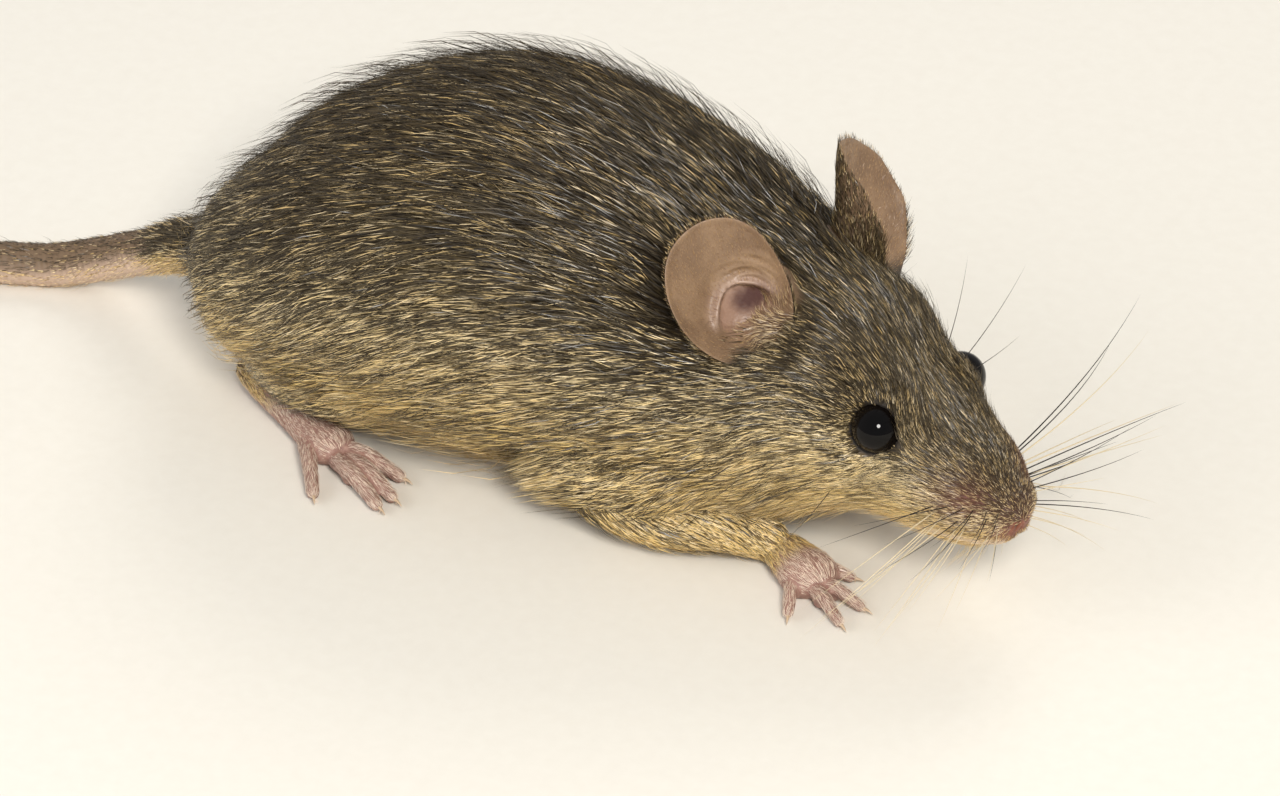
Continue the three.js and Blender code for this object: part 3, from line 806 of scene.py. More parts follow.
def markings(points):
    """Each marking as one number per point: pale (0 on the back, 1 under the belly, raised on the rump by
    painted warm light bounced from below), pink (the thin coat of the whisker pads and lips), ear, foot,
    tail, nose, lid, deep (painted shade in the nostrils and the ears' canals), concha (the ears' bowls) and
    ridge (a painted highlight along the fold that arches over each bowl)."""
    ahead, aside, above = head_coordinates(points)
    height = body_height(points)
    ear = share_of_ears(points)
    foot = share_of_feet(points)
    where, off, level = tail_place(points)
    tail = smoothstep(1.6, 3.4, where) * (1 - smoothstep(0.25, 0.6, off)) * (points[:, 0] < -32.5)
    out, over_nose = np.abs(aside), above - NOSE_ABOVE
    nose = smoothstep(NOSE_AHEAD - 0.05, NOSE_AHEAD + 0.2, ahead - 0.3 * over_nose) \
        * smoothstep(-0.95, -0.6, over_nose) * (1 - smoothstep(0.15, 0.5, over_nose)) \
        * (1 - smoothstep(0.95, 1.2, out))
    lid, concha, ridge = (np.zeros(len(points)) for _ in range(3))
    # deep: painted shade inside the nostrils, and below inside the ears' canals.
    deep = nose * bump(out - 0.50, 0.17) * bump(over_nose + 0.12, 0.15)
    for side in (-1, 1):
        up_eye, flat = eye_coordinates(points, side)
        radius = np.linalg.norm(flat, axis=1)
        lid = np.maximum(lid, (1 - smoothstep(1.76, 1.92, radius)) * (up_eye > -1.0))
        up_ear, across, _ = ear_coordinates(points, side)
        canal = np.hypot((across - EAR_CANAL[0]) / CANAL_SIZE[0], (up_ear - EAR_CANAL[1]) / CANAL_SIZE[1])
        # Painted shade in the ear's canal.
        deep = np.maximum(deep, ear * (1 - smoothstep(0.45, 1.05, canal)))
        bowl = np.hypot(across - EAR_BOWL[0], up_ear - EAR_BOWL[1])
        concha = np.maximum(concha, ear * (1 - smoothstep(1.7, 2.1, bowl)) * smoothstep(0.8, 3.2, up_ear))
        # ridge: a painted highlight along the fold that arches over the bowl.
        ridge = np.maximum(ridge, ear * bump(bowl - 2.15, 0.42) * smoothstep(2.4, 3.6, up_ear))
    pale = np.interp(-height, [-0.95, -0.5, -0.1, 0.4, 0.7, 0.9], [0.0, 0.12, 0.42, 0.66, 0.88, 1.0])
    # Paler, warmer coat towards the rump: painted warm light bounced up from below.
    pale = np.clip(pale + 0.26 * smoothstep(-17.0, -30.0, points[:, 0]), 0, 1)
    face_pale = smoothstep(-4.1, -6.6, above) * smoothstep(-3.0, 3.0, ahead)
    lip_pale = 1.4 * bump(above + 5.9, 0.6) * smoothstep(2.5, 5.0, ahead) * smoothstep(0.6, 1.2, out)
    pale = np.maximum(np.maximum(pale, face_pale), lip_pale)
    pale = np.where(points[:, 0] < -34.5, smoothstep(0.55, -0.25, level), pale)
    pads = 0.95 * bump(ahead - 6.2, 2.2) * bump(out - 2.4, 1.6) * bump(above + 3.4, 1.3)
    muzzle = 0.35 * smoothstep(4.5, 6.5, ahead) * bump(above + 4.4, 1.6)
    lips = smoothstep(7.6, 9.0, ahead) * bump(above + 5.4, 1.0) * 0.8
    pink = np.clip(np.maximum(np.maximum(pads, lips), muzzle), 0, 1)
    return dict(pale=pale, pink=pink, ear=ear, foot=foot, tail=tail, nose=nose, lid=lid, deep=deep,
                concha=concha, ridge=ridge)


# ------------------------------------------------------------------------------ shader maths


class Value:
    """A node's output that can be added, taken away and multiplied; each adds a Math node."""

    def __init__(self, finish, socket):
        self.finish, self.socket = finish, socket

    def __add__(self, other):
        return self.finish.math("ADD", self, other)

    def __sub__(self, other):
        return self.finish.math("SUBTRACT", self, other)

    def __rsub__(self, other):
        return self.finish.math("SUBTRACT", other, self)

    def __mul__(self, other):
        return self.finish.math("MULTIPLY", self, other)

    __radd__, __rmul__ = __add__, __mul__


class Finish:
    """A material made of nodes round one Principled shader."""

    def __init__(self, name):
        self.material = bpy.data.materials.new(name)
        self.material.use_nodes = True
        self.tree = self.material.node_tree
        self.tree.nodes.clear()
        output = self.tree.nodes.new("ShaderNodeOutputMaterial")
        self.shader = self.tree.nodes.new("ShaderNodeBsdfPrincipled")
        self.tree.links.new(self.shader.outputs[0], output.inputs[0])

    def node(self, kind, settings, inputs, output=0):
        """Adds a node of a type: first its settings, with a ramp's stops among them, then the
        values or links of its sockets. Gives one of its outputs."""
        made = self.tree.nodes.new(kind)
        for key, value in settings.items():
            if key == "stops":
                ramp = made.color_ramp
                while len(ramp.elements) < len(value):
                    ramp.elements.new(0.5)
                for element, (position, colour) in zip(ramp.elements, value):
                    element.position, element.color = position, (*colour, 1.0)
            else:
                setattr(made, key, value)
        for key, value in inputs.items():
            self.feed(made.inputs[key], value)
        return Value(self, made.outputs[output])

    def feed(self, socket, value):
        """Links a value to a socket, or sets the socket to a constant."""
        if isinstance(value, Value):
            self.tree.links.new(value.socket, socket)
        elif socket.type == "RGBA":
            socket.default_value = (*value, 1.0)
        else:
            socket.default_value = value

    def math(self, operation, *values):
        return self.node("ShaderNodeMath", {"operation": operation}, dict(enumerate(values)))

    def between(self, value, low, high):
        """0 below low, 1 above high, smooth between."""
        return self.node("ShaderNodeMapRange", {"interpolation_type": "SMOOTHSTEP"},
                         {0: value, 1: low, 2: high, 3: 0.0, 4: 1.0})

    def mix(self, share, first, second):
        """Colour between two colours."""
        return self.node("ShaderNodeMix", {"data_type": "RGBA"}, {0: share, 6: first, 7: second}, 2)

    def number(self, name):
        """One of the mesh's own numbers."""
        return self.node("ShaderNodeAttribute", {"attribute_name": name}, {}, "Fac")

    def place(self):
        """Where each point is, in the piece's own metres."""
        return self.node("ShaderNodeTexCoord", {}, {}, "Object")

    def noise(self, scale):
        """Cloudy pattern, so many turns per metre."""
        return self.node("ShaderNodeTexNoise", {}, {"Vector": self.place(), "Scale": scale,
                                                    "Detail": 3.0, "Roughness": 0.55})

    def cells(self, scale):
        """Distance to the nearest of many scattered points, so many per metre."""
        return self.node("ShaderNodeTexVoronoi", {}, {"Vector": self.place(), "Scale": scale}, "Distance")

    def bumps(self, height, distance, strength):
        """The normal of a surface with small heights on it."""
        inputs = {"Height": height, "Distance": distance, "Strength": strength}
        return self.node("ShaderNodeBump", {}, inputs)

    def surface(self, **sockets):
        """Sets the Principled shader's sockets; an underscore stands for a space."""
        for key, value in sockets.items():
            self.feed(self.shader.inputs[key.replace("_", " ")], value)
        return self.material


def rgb(red, green, blue):
    """A linear colour from the numbers 0 to 255 of a screen: ((c + 0.055) / 1.055) ^ 2.4."""
    return tuple(((c / 255 + 0.055) / 1.055) ** 2.4 for c in (red, green, blue))


# ------------------------------------------------------------------------------ finishes

DARK_HAIR = rgb(35, 27, 17)
# Slate of the underfur, darkened as painted shade that the coat casts on the skin under it.
UNDERCOAT_AND_SHADE = rgb(58, 53, 48)
STRAW = [                        # how pale the coat is there, and the colour of its bands
    (0.0, rgb(194, 164, 108)), (0.35, rgb(242, 216, 160)),
    (0.65, rgb(228, 195, 122)), (1.0, rgb(232, 200, 134)),
]


def skin_finish():
    """Flesh and hide: dark under the coat, partly the slate of the underfur and partly painted shade, pink
    on the feet, brown-pink on the ears with painted shade in their canals and a painted highlight along the
    fold over each bowl, dusky above and pink below on the ringed tail, orange-pink on the nose with painted
    shade in its nostrils."""
    f = Finish("skin")
    fine = f.noise(2600.0)
    broad = f.noise(420.0)
    # Skin under the coat: underfur slate with painted shade, paler towards the belly.
    under = f.mix(f.number("pale"), UNDERCOAT_AND_SHADE, rgb(120, 100, 74))
    under = f.mix(f.number("pink"), under, rgb(138, 82, 76))
    ear = f.mix(f.between(broad, 0.35, 0.7), rgb(124, 99, 76), rgb(146, 119, 92))
    ear = f.mix(f.number("concha"), ear, rgb(150, 118, 98))
    # Painted highlight along the fold over each bowl.
    ear = f.mix(f.number("ridge") * 0.8, ear, rgb(176, 150, 134))
    # Painted shade in the ears' canals.
    ear = f.mix(f.number("deep"), ear, rgb(78, 48, 42))
    foot = f.mix(f.between(fine, 0.3, 0.75), rgb(140, 104, 93), rgb(166, 132, 118))
    tail = f.mix(f.number("pale"), rgb(114, 93, 72), rgb(197, 171, 151))
    nose = f.mix(f.between(fine, 0.3, 0.7), rgb(116, 62, 42), rgb(140, 80, 54))
    # Painted shade in the nostrils.
    nose = f.mix(f.number("deep"), nose, rgb(50, 22, 18))
    colour = f.mix(f.number("ear"), under, ear)
    colour = f.mix(f.number("foot"), colour, foot)
    colour = f.mix(f.number("tail"), colour, tail)
    colour = f.mix(f.number("nose"), colour, nose)
    colour = f.mix(f.number("lid"), colour, rgb(30, 24, 20))
    pores = f.cells(5200.0)
    height = fine * 0.6 + pores * 0.4
    roughness = 0.62 - 0.18 * f.number("nose") - 0.16 * f.number("ear") - 0.08 * fine
    return f.surface(Base_Color=colour, Roughness=roughness, Normal=f.bumps(height, 0.00006, 0.6),
                     Specular_IOR_Level=0.4)


def eye_finish():
    """Wet black ball with the faintest brown towards its edge."""
    f = Finish("eye")
    edge = f.node("ShaderNodeLayerWeight", {}, {"Blend": 0.3}, "Facing")
    colour = f.mix(edge, (0.0015, 0.0012, 0.0012), (0.010, 0.006, 0.004))
    return f.surface(Base_Color=colour, Roughness=0.04, IOR=1.34, Specular_IOR_Level=0.35)


def floor_finish():
    """Plain pale matt paper."""
    f = Finish("floor")
    grain = f.noise(900.0)
    colour = f.mix(grain, rgb(226, 220, 208), rgb(232, 227, 216))
    return f.surface(Base_Color=colour, Roughness=0.9)


# ------------------------------------------------------------------------------ pieces


def finished(piece, material):
    """Gives a piece its material and its body."""
    piece.data.materials.append(material)
    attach(piece, "root")
    return piece


SKIN_NODES = ["muzzle", "head", "neck", "chest", "trunk", "rump", "nose"]
SKIN_NODES += [f"tail_{number}" for number in range(1, 5)]
SKIN_NODES += [f"{part}_{hand}" for _, hand in HANDS
               for part in ("ear", "fore_leg", "fore_foot", "hind_leg", "hind_foot")]


class Hide:
    """The skin's surface, which keeps the coat above it."""

    def __init__(self, skin):
        count = len(skin.data.vertices)
        self.points, self.normals = np.empty(count * 3, np.float32), np.empty(count * 3, np.float32)
        skin.data.vertices.foreach_get("co", self.points)
        skin.data.vertices.foreach_get("normal", self.normals)
        self.points = self.points.reshape(-1, 3).astype(float) / MM - MODEL_SHIFT
        self.normals = self.normals.reshape(-1, 3).astype(float)
        self.tree = KDTree(count)
        for index, point in enumerate(self.points):
            self.tree.insert(point, index)
        self.tree.balance()

    def cleared(self, nodes, clearance):
        """Moves each point out along the skin's normal at the nearest point of the skin until it
        stands clear by its own clearance. Gives the points, and how deep each one had lain."""
        flat = nodes.reshape(-1, 3)
        nearest = np.array([self.tree.find(point)[1] for point in flat])
        normal = self.normals[nearest]
        height = ((flat - self.points[nearest]) * normal).sum(1)
        push = np.maximum(clearance.ravel() - height, 0.0)
        return (flat + push[:, None] * normal).reshape(nodes.shape), -height.reshape(nodes.shape[:2])


def add_skin():
    """The skin, in place of all the flesh. Gives its surface, for the coat to clear."""
    points, faces = build_skin()
    skin = finished(publish("skin", points, faces, markings(points)), skin_finish())
    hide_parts(*SKIN_NODES)
    return Hide(skin)


def add_eyes():
    """Each eye is a full ball."""
    material = eye_finish()
    for side, hand in HANDS:
        look = EYE_LOOK[side]
        across = unit(np.cross(look, HEAD_UP))
        axes = np.stack([look, across, np.cross(look, across)])
        points, faces = closed_faces(ball(EYES[side], np.full(3, EYE_RADIUS), 64, 40, axes))
        eye = finished(publish(f"eyeball_{hand}", points, faces), material)
        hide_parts(f"eye_{hand}")


# ------------------------------------------------------------------------------ coat


def sampled(field, row, column):
    """A grid's values at fractional rows and columns, whose columns close into a ring."""
    row = np.clip(row, 0, field.shape[0] - 1.001)
    r, c = row.astype(int), np.floor(column).astype(int)
    u, v = (row - r)[:, None], (column - c)[:, None]
    left, right = c % field.shape[1], (c + 1) % field.shape[1]
    return ((1 - u) * ((1 - v) * field[r, left] + v * field[r, right])
            + u * ((1 - v) * field[r + 1, left] + v * field[r + 1, right]))


def scattered(grid, density, rng):
    """Roots over a grid, so many to each square millimetre, as fractional rows and columns."""
    across = (np.roll(grid, -1, axis=1) - grid)[:-1]
    area = np.linalg.norm(np.cross(np.diff(grid, axis=0), across), axis=-1)
    wanted = np.cumsum((area * density[:-1]).ravel())
    count = int(wanted[-1])
    cell = np.searchsorted(wanted, (np.arange(count) + rng.random(count)) / count * wanted[-1])
    row, column = np.divmod(np.minimum(cell, wanted.size - 1), grid.shape[1])
    return row + rng.random(count), column + rng.random(count)


def locks(grid, row, column, along, across, rng):
    """A number from -1 to 1 shared by the hairs of a lock: random values on a lattice with the
    given spacings, and straight lines between them."""
    length = np.linalg.norm(np.diff(grid, axis=0), axis=-1).mean(axis=1).sum()
    girth = np.linalg.norm(np.roll(grid, -1, axis=1) - grid, axis=-1).sum(axis=1).max()
    rows, columns = max(int(length / along), 2), max(int(girth / across), 3)
    lattice = rng.uniform(-1, 1, (rows + 1, columns, 1))
    turns = (row / (grid.shape[0] - 1) * rows, column / grid.shape[1] * columns)
    return sampled(lattice, *turns)[:, 0]


RISES = {2: (1.35, 0.65), 3: (1.7, 0.9, 0.4)}     # each step's share of a hair's rise


def grown(grid, guide, flow, row, column, length, rise, turn, segments):
    """Centre lines of hairs, (hairs, segments + 1, 3), and the directions that face out of the coat.
    Each step follows the flow, pressed onto the guide's surface where the step's middle stands over
    it, turned a little, and lifted by its share of the rise. Where the surface falls away from the
    flow, as at the rump's end, the hair goes on straighter."""
    normals = grid_normals(guide)
    down_rows = np.gradient(guide, axis=0)
    down_columns = (np.roll(guide, -1, axis=1) - np.roll(guide, 1, axis=1)) / 2

    def direction(r, c):
        normal = unit(sampled(normals, r, c))
        way = unit(sampled(flow, r, c))
        fall = (way * normal).sum(1, keepdims=True)
        press = 1 - 0.6 * smoothstep(0.3, 0.75, fall)
        way = unit(way - press * fall * normal)
        return unit(way * np.cos(turn)[:, None] + np.cross(normal, way) * np.sin(turn)[:, None]), normal

    def moved(r, c, way, distance):
        rate_r, rate_c = sampled(down_rows, r, c), sampled(down_columns, r, c)
        dr = (way * rate_r).sum(1) / np.maximum((rate_r ** 2).sum(1), 4e-3)
        dc = (way * rate_c).sum(1) / np.maximum((rate_c ** 2).sum(1), 4e-3)
        return np.clip(r + dr * distance, 0.5, grid.shape[0] - 1.5), c + dc * distance

    step = length / segments
    way, normal = direction(row, column)
    point = sampled(grid, row, column) - np.minimum(0.12, 0.25 * rise)[:, None] * normal
    nodes, facing = [point], [normal]
    for share in RISES[segments]:
        middle = moved(row, column, way, step / 2)
        way, normal = direction(*middle)
        lift = np.clip(share * rise / length, -0.2, 0.95)[:, None]
        point = point + step[:, None] * (np.sqrt(1 - lift ** 2) * way + lift * normal)
        row, column = moved(row, column, way, step)
        nodes.append(point)
        facing.append(normal)
        way, _ = direction(row, column)
    return np.stack(nodes, 1), np.stack(facing, 1)


def ribbons(nodes, facing, width, roll):
    """Points of flat hairs that taper to one tip point, rolled about their own line."""
    way = unit(np.gradient(nodes, axis=1))
    side = unit(np.cross(way, facing))
    up = np.cross(side, way)
    side = side * np.cos(roll)[:, None, None] + up * np.sin(roll)[:, None, None]
    steps = nodes.shape[1] - 1
    shares = np.interp(np.linspace(0, 1, steps + 1)[:-1], [0, 0.35, 0.7, 1.0], [0.75, 1.0, 0.85, 0.0])
    half = (width[:, None] * shares[None, :] / 2)[..., None]
    left, right = nodes[:, :-1] - half * side[:, :-1], nodes[:, :-1] + half * side[:, :-1]
    pairs = np.stack([left, right], 2).reshape(len(nodes), -1, 3)
    return np.concatenate([pairs, nodes[:, -1:]], 1)


def ribbon_faces(count, steps):
    """Triangles of ribbons, and for each corner how far across (-1 to 1) and along (0 to 1) it is."""
    each = 2 * steps + 1
    faces = []
    for k in range(steps - 1):
        a = 2 * k
        faces += [(a, a + 1, a + 3), (a, a + 3, a + 2)]
    faces.append((2 * steps - 2, 2 * steps - 1, 2 * steps))
    faces = np.array(faces)
    across = np.array([-1.0, 1.0] * steps + [0.0])
    along = np.append(np.repeat(np.arange(steps) / steps, 2), 1.0)
    every = (np.arange(count)[:, None, None] * each + faces[None]).reshape(-1, 3)
    return every, across, along, faces


def visible_hairs(nodes):
    """Drops the hairs that cross an eye or an ear's hollow."""
    keep = np.ones(len(nodes), bool)
    for side in (-1, 1):
        height, flat = eye_coordinates(nodes[:, 1:], side)
        away = np.linalg.norm(flat, axis=-1)
        keep &= ~((away < 1.58) & (height > 0.15)).any(1)
        height, across, depth = ear_coordinates(nodes[:, 1:], side)
        in_dish = np.hypot(across / 4.6, (height - 5.2) / 5.2) < 0.9
        keep &= ~(in_dish & (height > 2.6) & (depth < 2.6) & (depth > -0.6)).any(1)
        from_canal = np.hypot(across - EAR_CANAL[0], height - EAR_CANAL[1])
        keep &= ~((from_canal < CANAL_CLEARED) & (depth < 2.6) & (depth > -2.2)).any(1)
    return keep


def everywhere(nodes):
    """Keeps every hair."""
    return np.ones(len(nodes), bool)


TUFT_PATCH = 0.003               # the side of a tuft's patch on the OFBake map
MAP_EDGE = 0.004                 # the map's border, free of roots
GUARD_SHARE = 0.07               # the share of guard hairs, and how many times the others they are
GUARD_LENGTH, GUARD_RISE, GUARD_WIDTH = 1.3, 1.85, 0.7
SUNK_LIMIT = 2.2                 # hairs that had lain deeper than this in the skin are left out


def add_coat(names, grid, guide, flow, fields, segments, rng, material,
             unruly=0.13, rolls=0.9, lattice=(2.4, 0.42), check=visible_hairs, hide=None):
    """Tufts over a grid, shared out by station among pieces with the given names. fields are grids
    of density, length, rise and width, and of the markings that the material reads. Each tuft's
    length, rise, turn and width are the field's value at its root times a random number; locks
    share part of their rise and turn. On the OFBake map a tuft is a small patch at its root's
    place, with the way round the body along u and the way down its length along v."""
    row, column = scattered(grid, fields["density"], rng)
    read = {key: sampled(field[..., None], row, column)[:, 0] for key, field in fields.items()}
    count = len(row)
    lock = locks(grid, row, column, *lattice, rng)
    swirl = locks(grid, row, column, 3 * lattice[0], 5 * lattice[1], rng)
    guard = rng.random(count) < GUARD_SHARE
    length = read["length"] * rng.uniform(0.6, 1.05, count) * np.where(guard, GUARD_LENGTH, 1.0)
    rise = read["rise"] * rng.uniform(0.35, 1.0, count) * (1 + 0.25 * lock)
    rise = rise * np.where(guard, GUARD_RISE, 1.0)
    turn = rng.normal(0, unruly, count) + 0.16 * lock + 0.12 * swirl
    nodes, facing = grown(grid, guide, flow, row, column, length, rise, turn, segments)
    sunk = np.zeros(nodes.shape[:2])
    if hide is not None:
        steps = np.arange(segments + 1)[None, :] / segments
        nodes, sunk = hide.cleared(nodes, 0.45 * rise[:, None] * steps ** 0.5 - 0.05)
    nodes[..., 2] = np.maximum(nodes[..., 2], 0.06)
    width = read["width"] * rng.uniform(0.75, 1.2, count) * np.where(guard, GUARD_WIDTH, 1.0)
    points = ribbons(nodes, facing, width, rng.uniform(-rolls, rolls, count))
    keep = check(nodes) & (sunk.max(axis=1) < SUNK_LIMIT)
    kind = np.where(guard, 0.0, rng.random(count))
    order = np.argsort(row[keep], kind="stable")
    marks = {key: value for key, value in read.items() if key not in ("density", "length", "rise", "width")}
    marks.update(kind=kind, lock=lock, vary=rng.random(count))
    kept = {key: value[keep][order] for key, value in
            dict(marks, points=points, row=row, column=column).items()}
    for name, part in zip(names, np.array_split(np.arange(len(order)), len(names))):
        here = {key: value[part] for key, value in kept.items()}
        faces, across, along, one = ribbon_faces(len(part), segments)
        attributes = {key: np.repeat(here[key], 2 * segments + 1) for key in marks}
        attributes["along"] = np.tile(along, len(part))
        low, high = here["row"].min(), here["row"].max()
        u = MAP_EDGE + (1 - 2 * MAP_EDGE) * (here["column"] % grid.shape[1]) / grid.shape[1]
        v = MAP_EDGE + (1 - 2 * MAP_EDGE) * (here["row"] - low) / (high - low)
        u = u[:, None] + TUFT_PATCH / 2 * across[one.ravel()]
        v = v[:, None] + TUFT_PATCH * (along[one.ravel()] - 0.5)
        uv = np.stack([u, v], -1).reshape(-1, 2)
        piece = publish(name, here["points"].reshape(-1, 3), faces, attributes, uv)
        finished(piece, material)


def body_flow(guide, points):
    """Which way the coat lies: back from the nose along the body, a little downwards on the
    flanks and rump, round the eyes and past the ears."""
    back = unit(-np.gradient(guide, axis=0))
    height = body_height(points.reshape(-1, 3)).reshape(points.shape[:2])
    ahead, _, _ = head_coordinates(points)
    flank = np.clip(1 - np.abs(height + 0.1), 0, 1)
    down = 0.34 * flank * (1 - smoothstep(-8, -2, ahead)) + 0.22 * flank * smoothstep(-8, -2, ahead)
    down = down + 0.3 * smoothstep(-24, -31, points[..., 0])
    flow = back - down[..., None] * HEAD_UP
    for side in (-1, 1):
        root, up, _, _ = ear_frame(side)
        for centre, reach, push in ((EYES[side], 2.6, 2.6), (root + 1.5 * up, 3.2, 0.9)):
            away = points - centre
            distance = np.linalg.norm(away, axis=-1)
            away = unit(away)
            against = np.minimum((away * back).sum(-1), 0)
            flow = flow + (push * bump(distance, reach))[..., None] * (away - against[..., None] * back)
    return unit(flow)


TRUNK_DENSITY, FACE_DENSITY = 62.0, 180.0         # hairs to the square millimetre
TRUNK_WIDTH, FACE_WIDTH = 0.072, 0.038
TRUNK_ENDS_AT = 13.5                              # x where the trunk's coat meets the face's


def body_fields(grid):
    """Density, length, rise and width of the body's coat, and its markings."""
    points = grid.reshape(-1, 3)
    marks = {key: value.reshape(grid.shape[:2]) for key, value in markings(points).items()}
    x = grid[..., 0]
    ahead, aside, above = head_coordinates(grid)
    face = smoothstep(11.0, 24.0, x)
    rise = np.interp(x, BODY[:, 0], BODY[:, 6])
    length = np.interp(x, BODY[:, 0], BODY[:, 7])
    length = length * (1 + 0.35 * bump(ahead + 1.0, 4.0) * smoothstep(-1.0, -4.0, above))
    rise = rise * (1 - 0.15 * marks["pale"]) + 0.22 * face
    brow = bump(np.abs(aside) - 2.8, 0.8) * bump(ahead - 1.4, 1.7) * smoothstep(-0.2, 0.6, above)
    density = TRUNK_DENSITY + (FACE_DENSITY - TRUNK_DENSITY) * face + 50 * smoothstep(24.0, 30.0, x)
    width = TRUNK_WIDTH + (FACE_WIDTH - TRUNK_WIDTH) * face
    keep = (1 - marks["nose"]) * (1 - 0.8 * marks["pink"])
    for side in (-1, 1):
        for which in LIMBS:
            for rows in leg_rows(which, side):
                keep = keep * (gap_to(points, rows, 40).reshape(x.shape) > -0.9)
        look, flat = eye_coordinates(grid, side)
        radius = np.linalg.norm(flat, axis=-1)
        keep = keep * np.where(look > -1.2, smoothstep(EYE_OPENING, EYE_OPENING + 0.08, radius), 1.0)
        short = bump(np.where(look > -1.5, radius, 9.0) - 1.6, 0.9)
        length, rise = length * (1 - 0.6 * short), rise * (1 - 0.35 * short) + 0.35 * brow
        root, up, _, facing = ear_frame(side)
        away = np.linalg.norm(grid - (root + HOLLOW_UP * up + 2.2 * facing), axis=-1)
        hollow = 1 - smoothstep(3.0, 5.0, away)
        keep = keep * (1 - 0.55 * hollow)
        length, rise = length * (1 - 0.5 * hollow), rise * (1 - 0.7 * hollow)
    keep = keep * (gap_to(points, tail_rows(), 60).reshape(x.shape) > 0.0)
    return dict(density=density * keep, length=length, rise=rise, width=width, pale=marks["pale"],
                pink=marks["pink"], short=face)


def add_body_coat(material, rng, hide):
    """The coat of the trunk, of longer hairs, and of the face, of shorter and closer ones."""
    grid = body_grid()
    guide = smooth_grid(grid, np.full(grid.shape[:2], 0.6), 3)
    flow = body_flow(guide, grid)
    fields = body_fields(grid)
    on_trunk = (np.arange(len(grid)) < np.searchsorted(guide[:, 0, 0], TRUNK_ENDS_AT))[:, None]
    trunk = dict(fields, density=fields["density"] * on_trunk)
    face = dict(fields, density=fields["density"] * ~on_trunk)
    add_coat(["coat_rump", "coat_loin", "coat_back", "coat_flank", "coat_shoulder"],
             grid, guide, flow, trunk, 3, rng, material, hide=hide)
    add_coat(["coat_nape", "coat_head", "coat_muzzle"], grid, guide, flow, face, 2, rng, material,
             lattice=(1.4, 0.30), hide=hide)


LEG_HANG = np.array([-0.88, -0.1, -0.46])         # the lie of the coat over the tops of the legs
LEG_PALE_HEIGHTS = (0.6, 2.5, 8.0)                # how pale the legs are at three heights
LEG_PALE = {"fore": (0.95, 0.66, 0.46), "hind": (0.75, 0.50, 0.42)}
LEG_DENSITY, LEG_WIDTH = 60, 0.070
FEWEST_ROOTS = 20                                 # grid points that a tube needs to be given a coat


def add_leg_coats(material, rng, hide):
    """Shorter coat down each leg, away from the body."""
    for side, hand in HANDS:
        for which in LIMBS:
            tubes = leg_rows(which, side)
            for number, rows in enumerate(tubes):
                grid = tube(rows, 40, 60)
                points = grid.reshape(-1, 3)
                outside = ~inside_body(points, 0.6)
                for other, its_rows in enumerate(tubes):
                    if other != number:
                        outside &= gap_to(points, its_rows, 40) > -0.7
                if outside.sum() < FEWEST_ROOTS:
                    continue
                shape = grid.shape[:2]
                end = number == len(tubes) - 1
                down = np.linspace(0, 1, len(grid))[:, None] + np.zeros(shape)
                length = (3.6 if end else 4.4) - (2.4 if end else 0.4) * down
                rise = 0.75 - (0.6 if end else 0.1) * down
                foot = markings(points)["foot"].reshape(shape)
                pale = np.interp(grid[..., 2], LEG_PALE_HEIGHTS, LEG_PALE[which])
                density = LEG_DENSITY * outside.reshape(shape) * (1 - foot)
                fields = dict(density=density, length=length, rise=rise, width=np.full(shape, LEG_WIDTH),
                              pale=pale, pink=np.zeros(shape), short=np.full(shape, 0.3))
                turns = (0.0, 0.22) if which == "fore" and end else (0.4, 0.85)
                share = smoothstep(*turns, down)[..., None]
                along = unit(np.gradient(grid, axis=0)) * (1 if end else -1)
                flow = LEG_HANG * (1 - share) + (along - 0.35 * HEAD_UP) * share
                add_coat([f"coat_{which}_leg_{hand}_{number + 1}"], grid, grid, flow, fields, 3, rng,
                         material, check=everywhere, hide=hide)


def add_tail_hairs(material, rng):
    """Body coat runs out over the tail's first centimetre; beyond it short stiff hairs grow from
    between the rings, dark above and pale below."""
    rows = tail_rows()
    grid = tail_grid()
    shape = grid.shape[:2]
    distance = np.linspace(0, keyed(rows)[-1, 0], shape[0])[:, None] + np.zeros(shape)
    height = grid[..., 2]
    level = 2 * (height - height.mean(axis=1, keepdims=True)) / np.ptp(height, axis=1, keepdims=True)
    root = 1 - smoothstep(3.0, 9.5, distance)
    clear = distance > 1.5
    under = smoothstep(0.5, -0.3, level)
    fields = dict(density=(14 + 46 * root) * clear, length=1.0 + (2.4 - 1.2 * under) * root,
                  rise=0.28 + (0.35 - 0.25 * under) * root, width=0.042 + (0.026 - 0.012 * under) * root,
                  pale=0.9 * under + 0.4 * under * (1 - root), pink=0.15 * under,
                  short=np.ones(shape))
    flow = unit(np.gradient(grid, axis=0))
    add_coat(["tail_hairs"], grid, grid, flow, fields, 2, rng, material, check=everywhere,
             lattice=(1.0, 0.6))


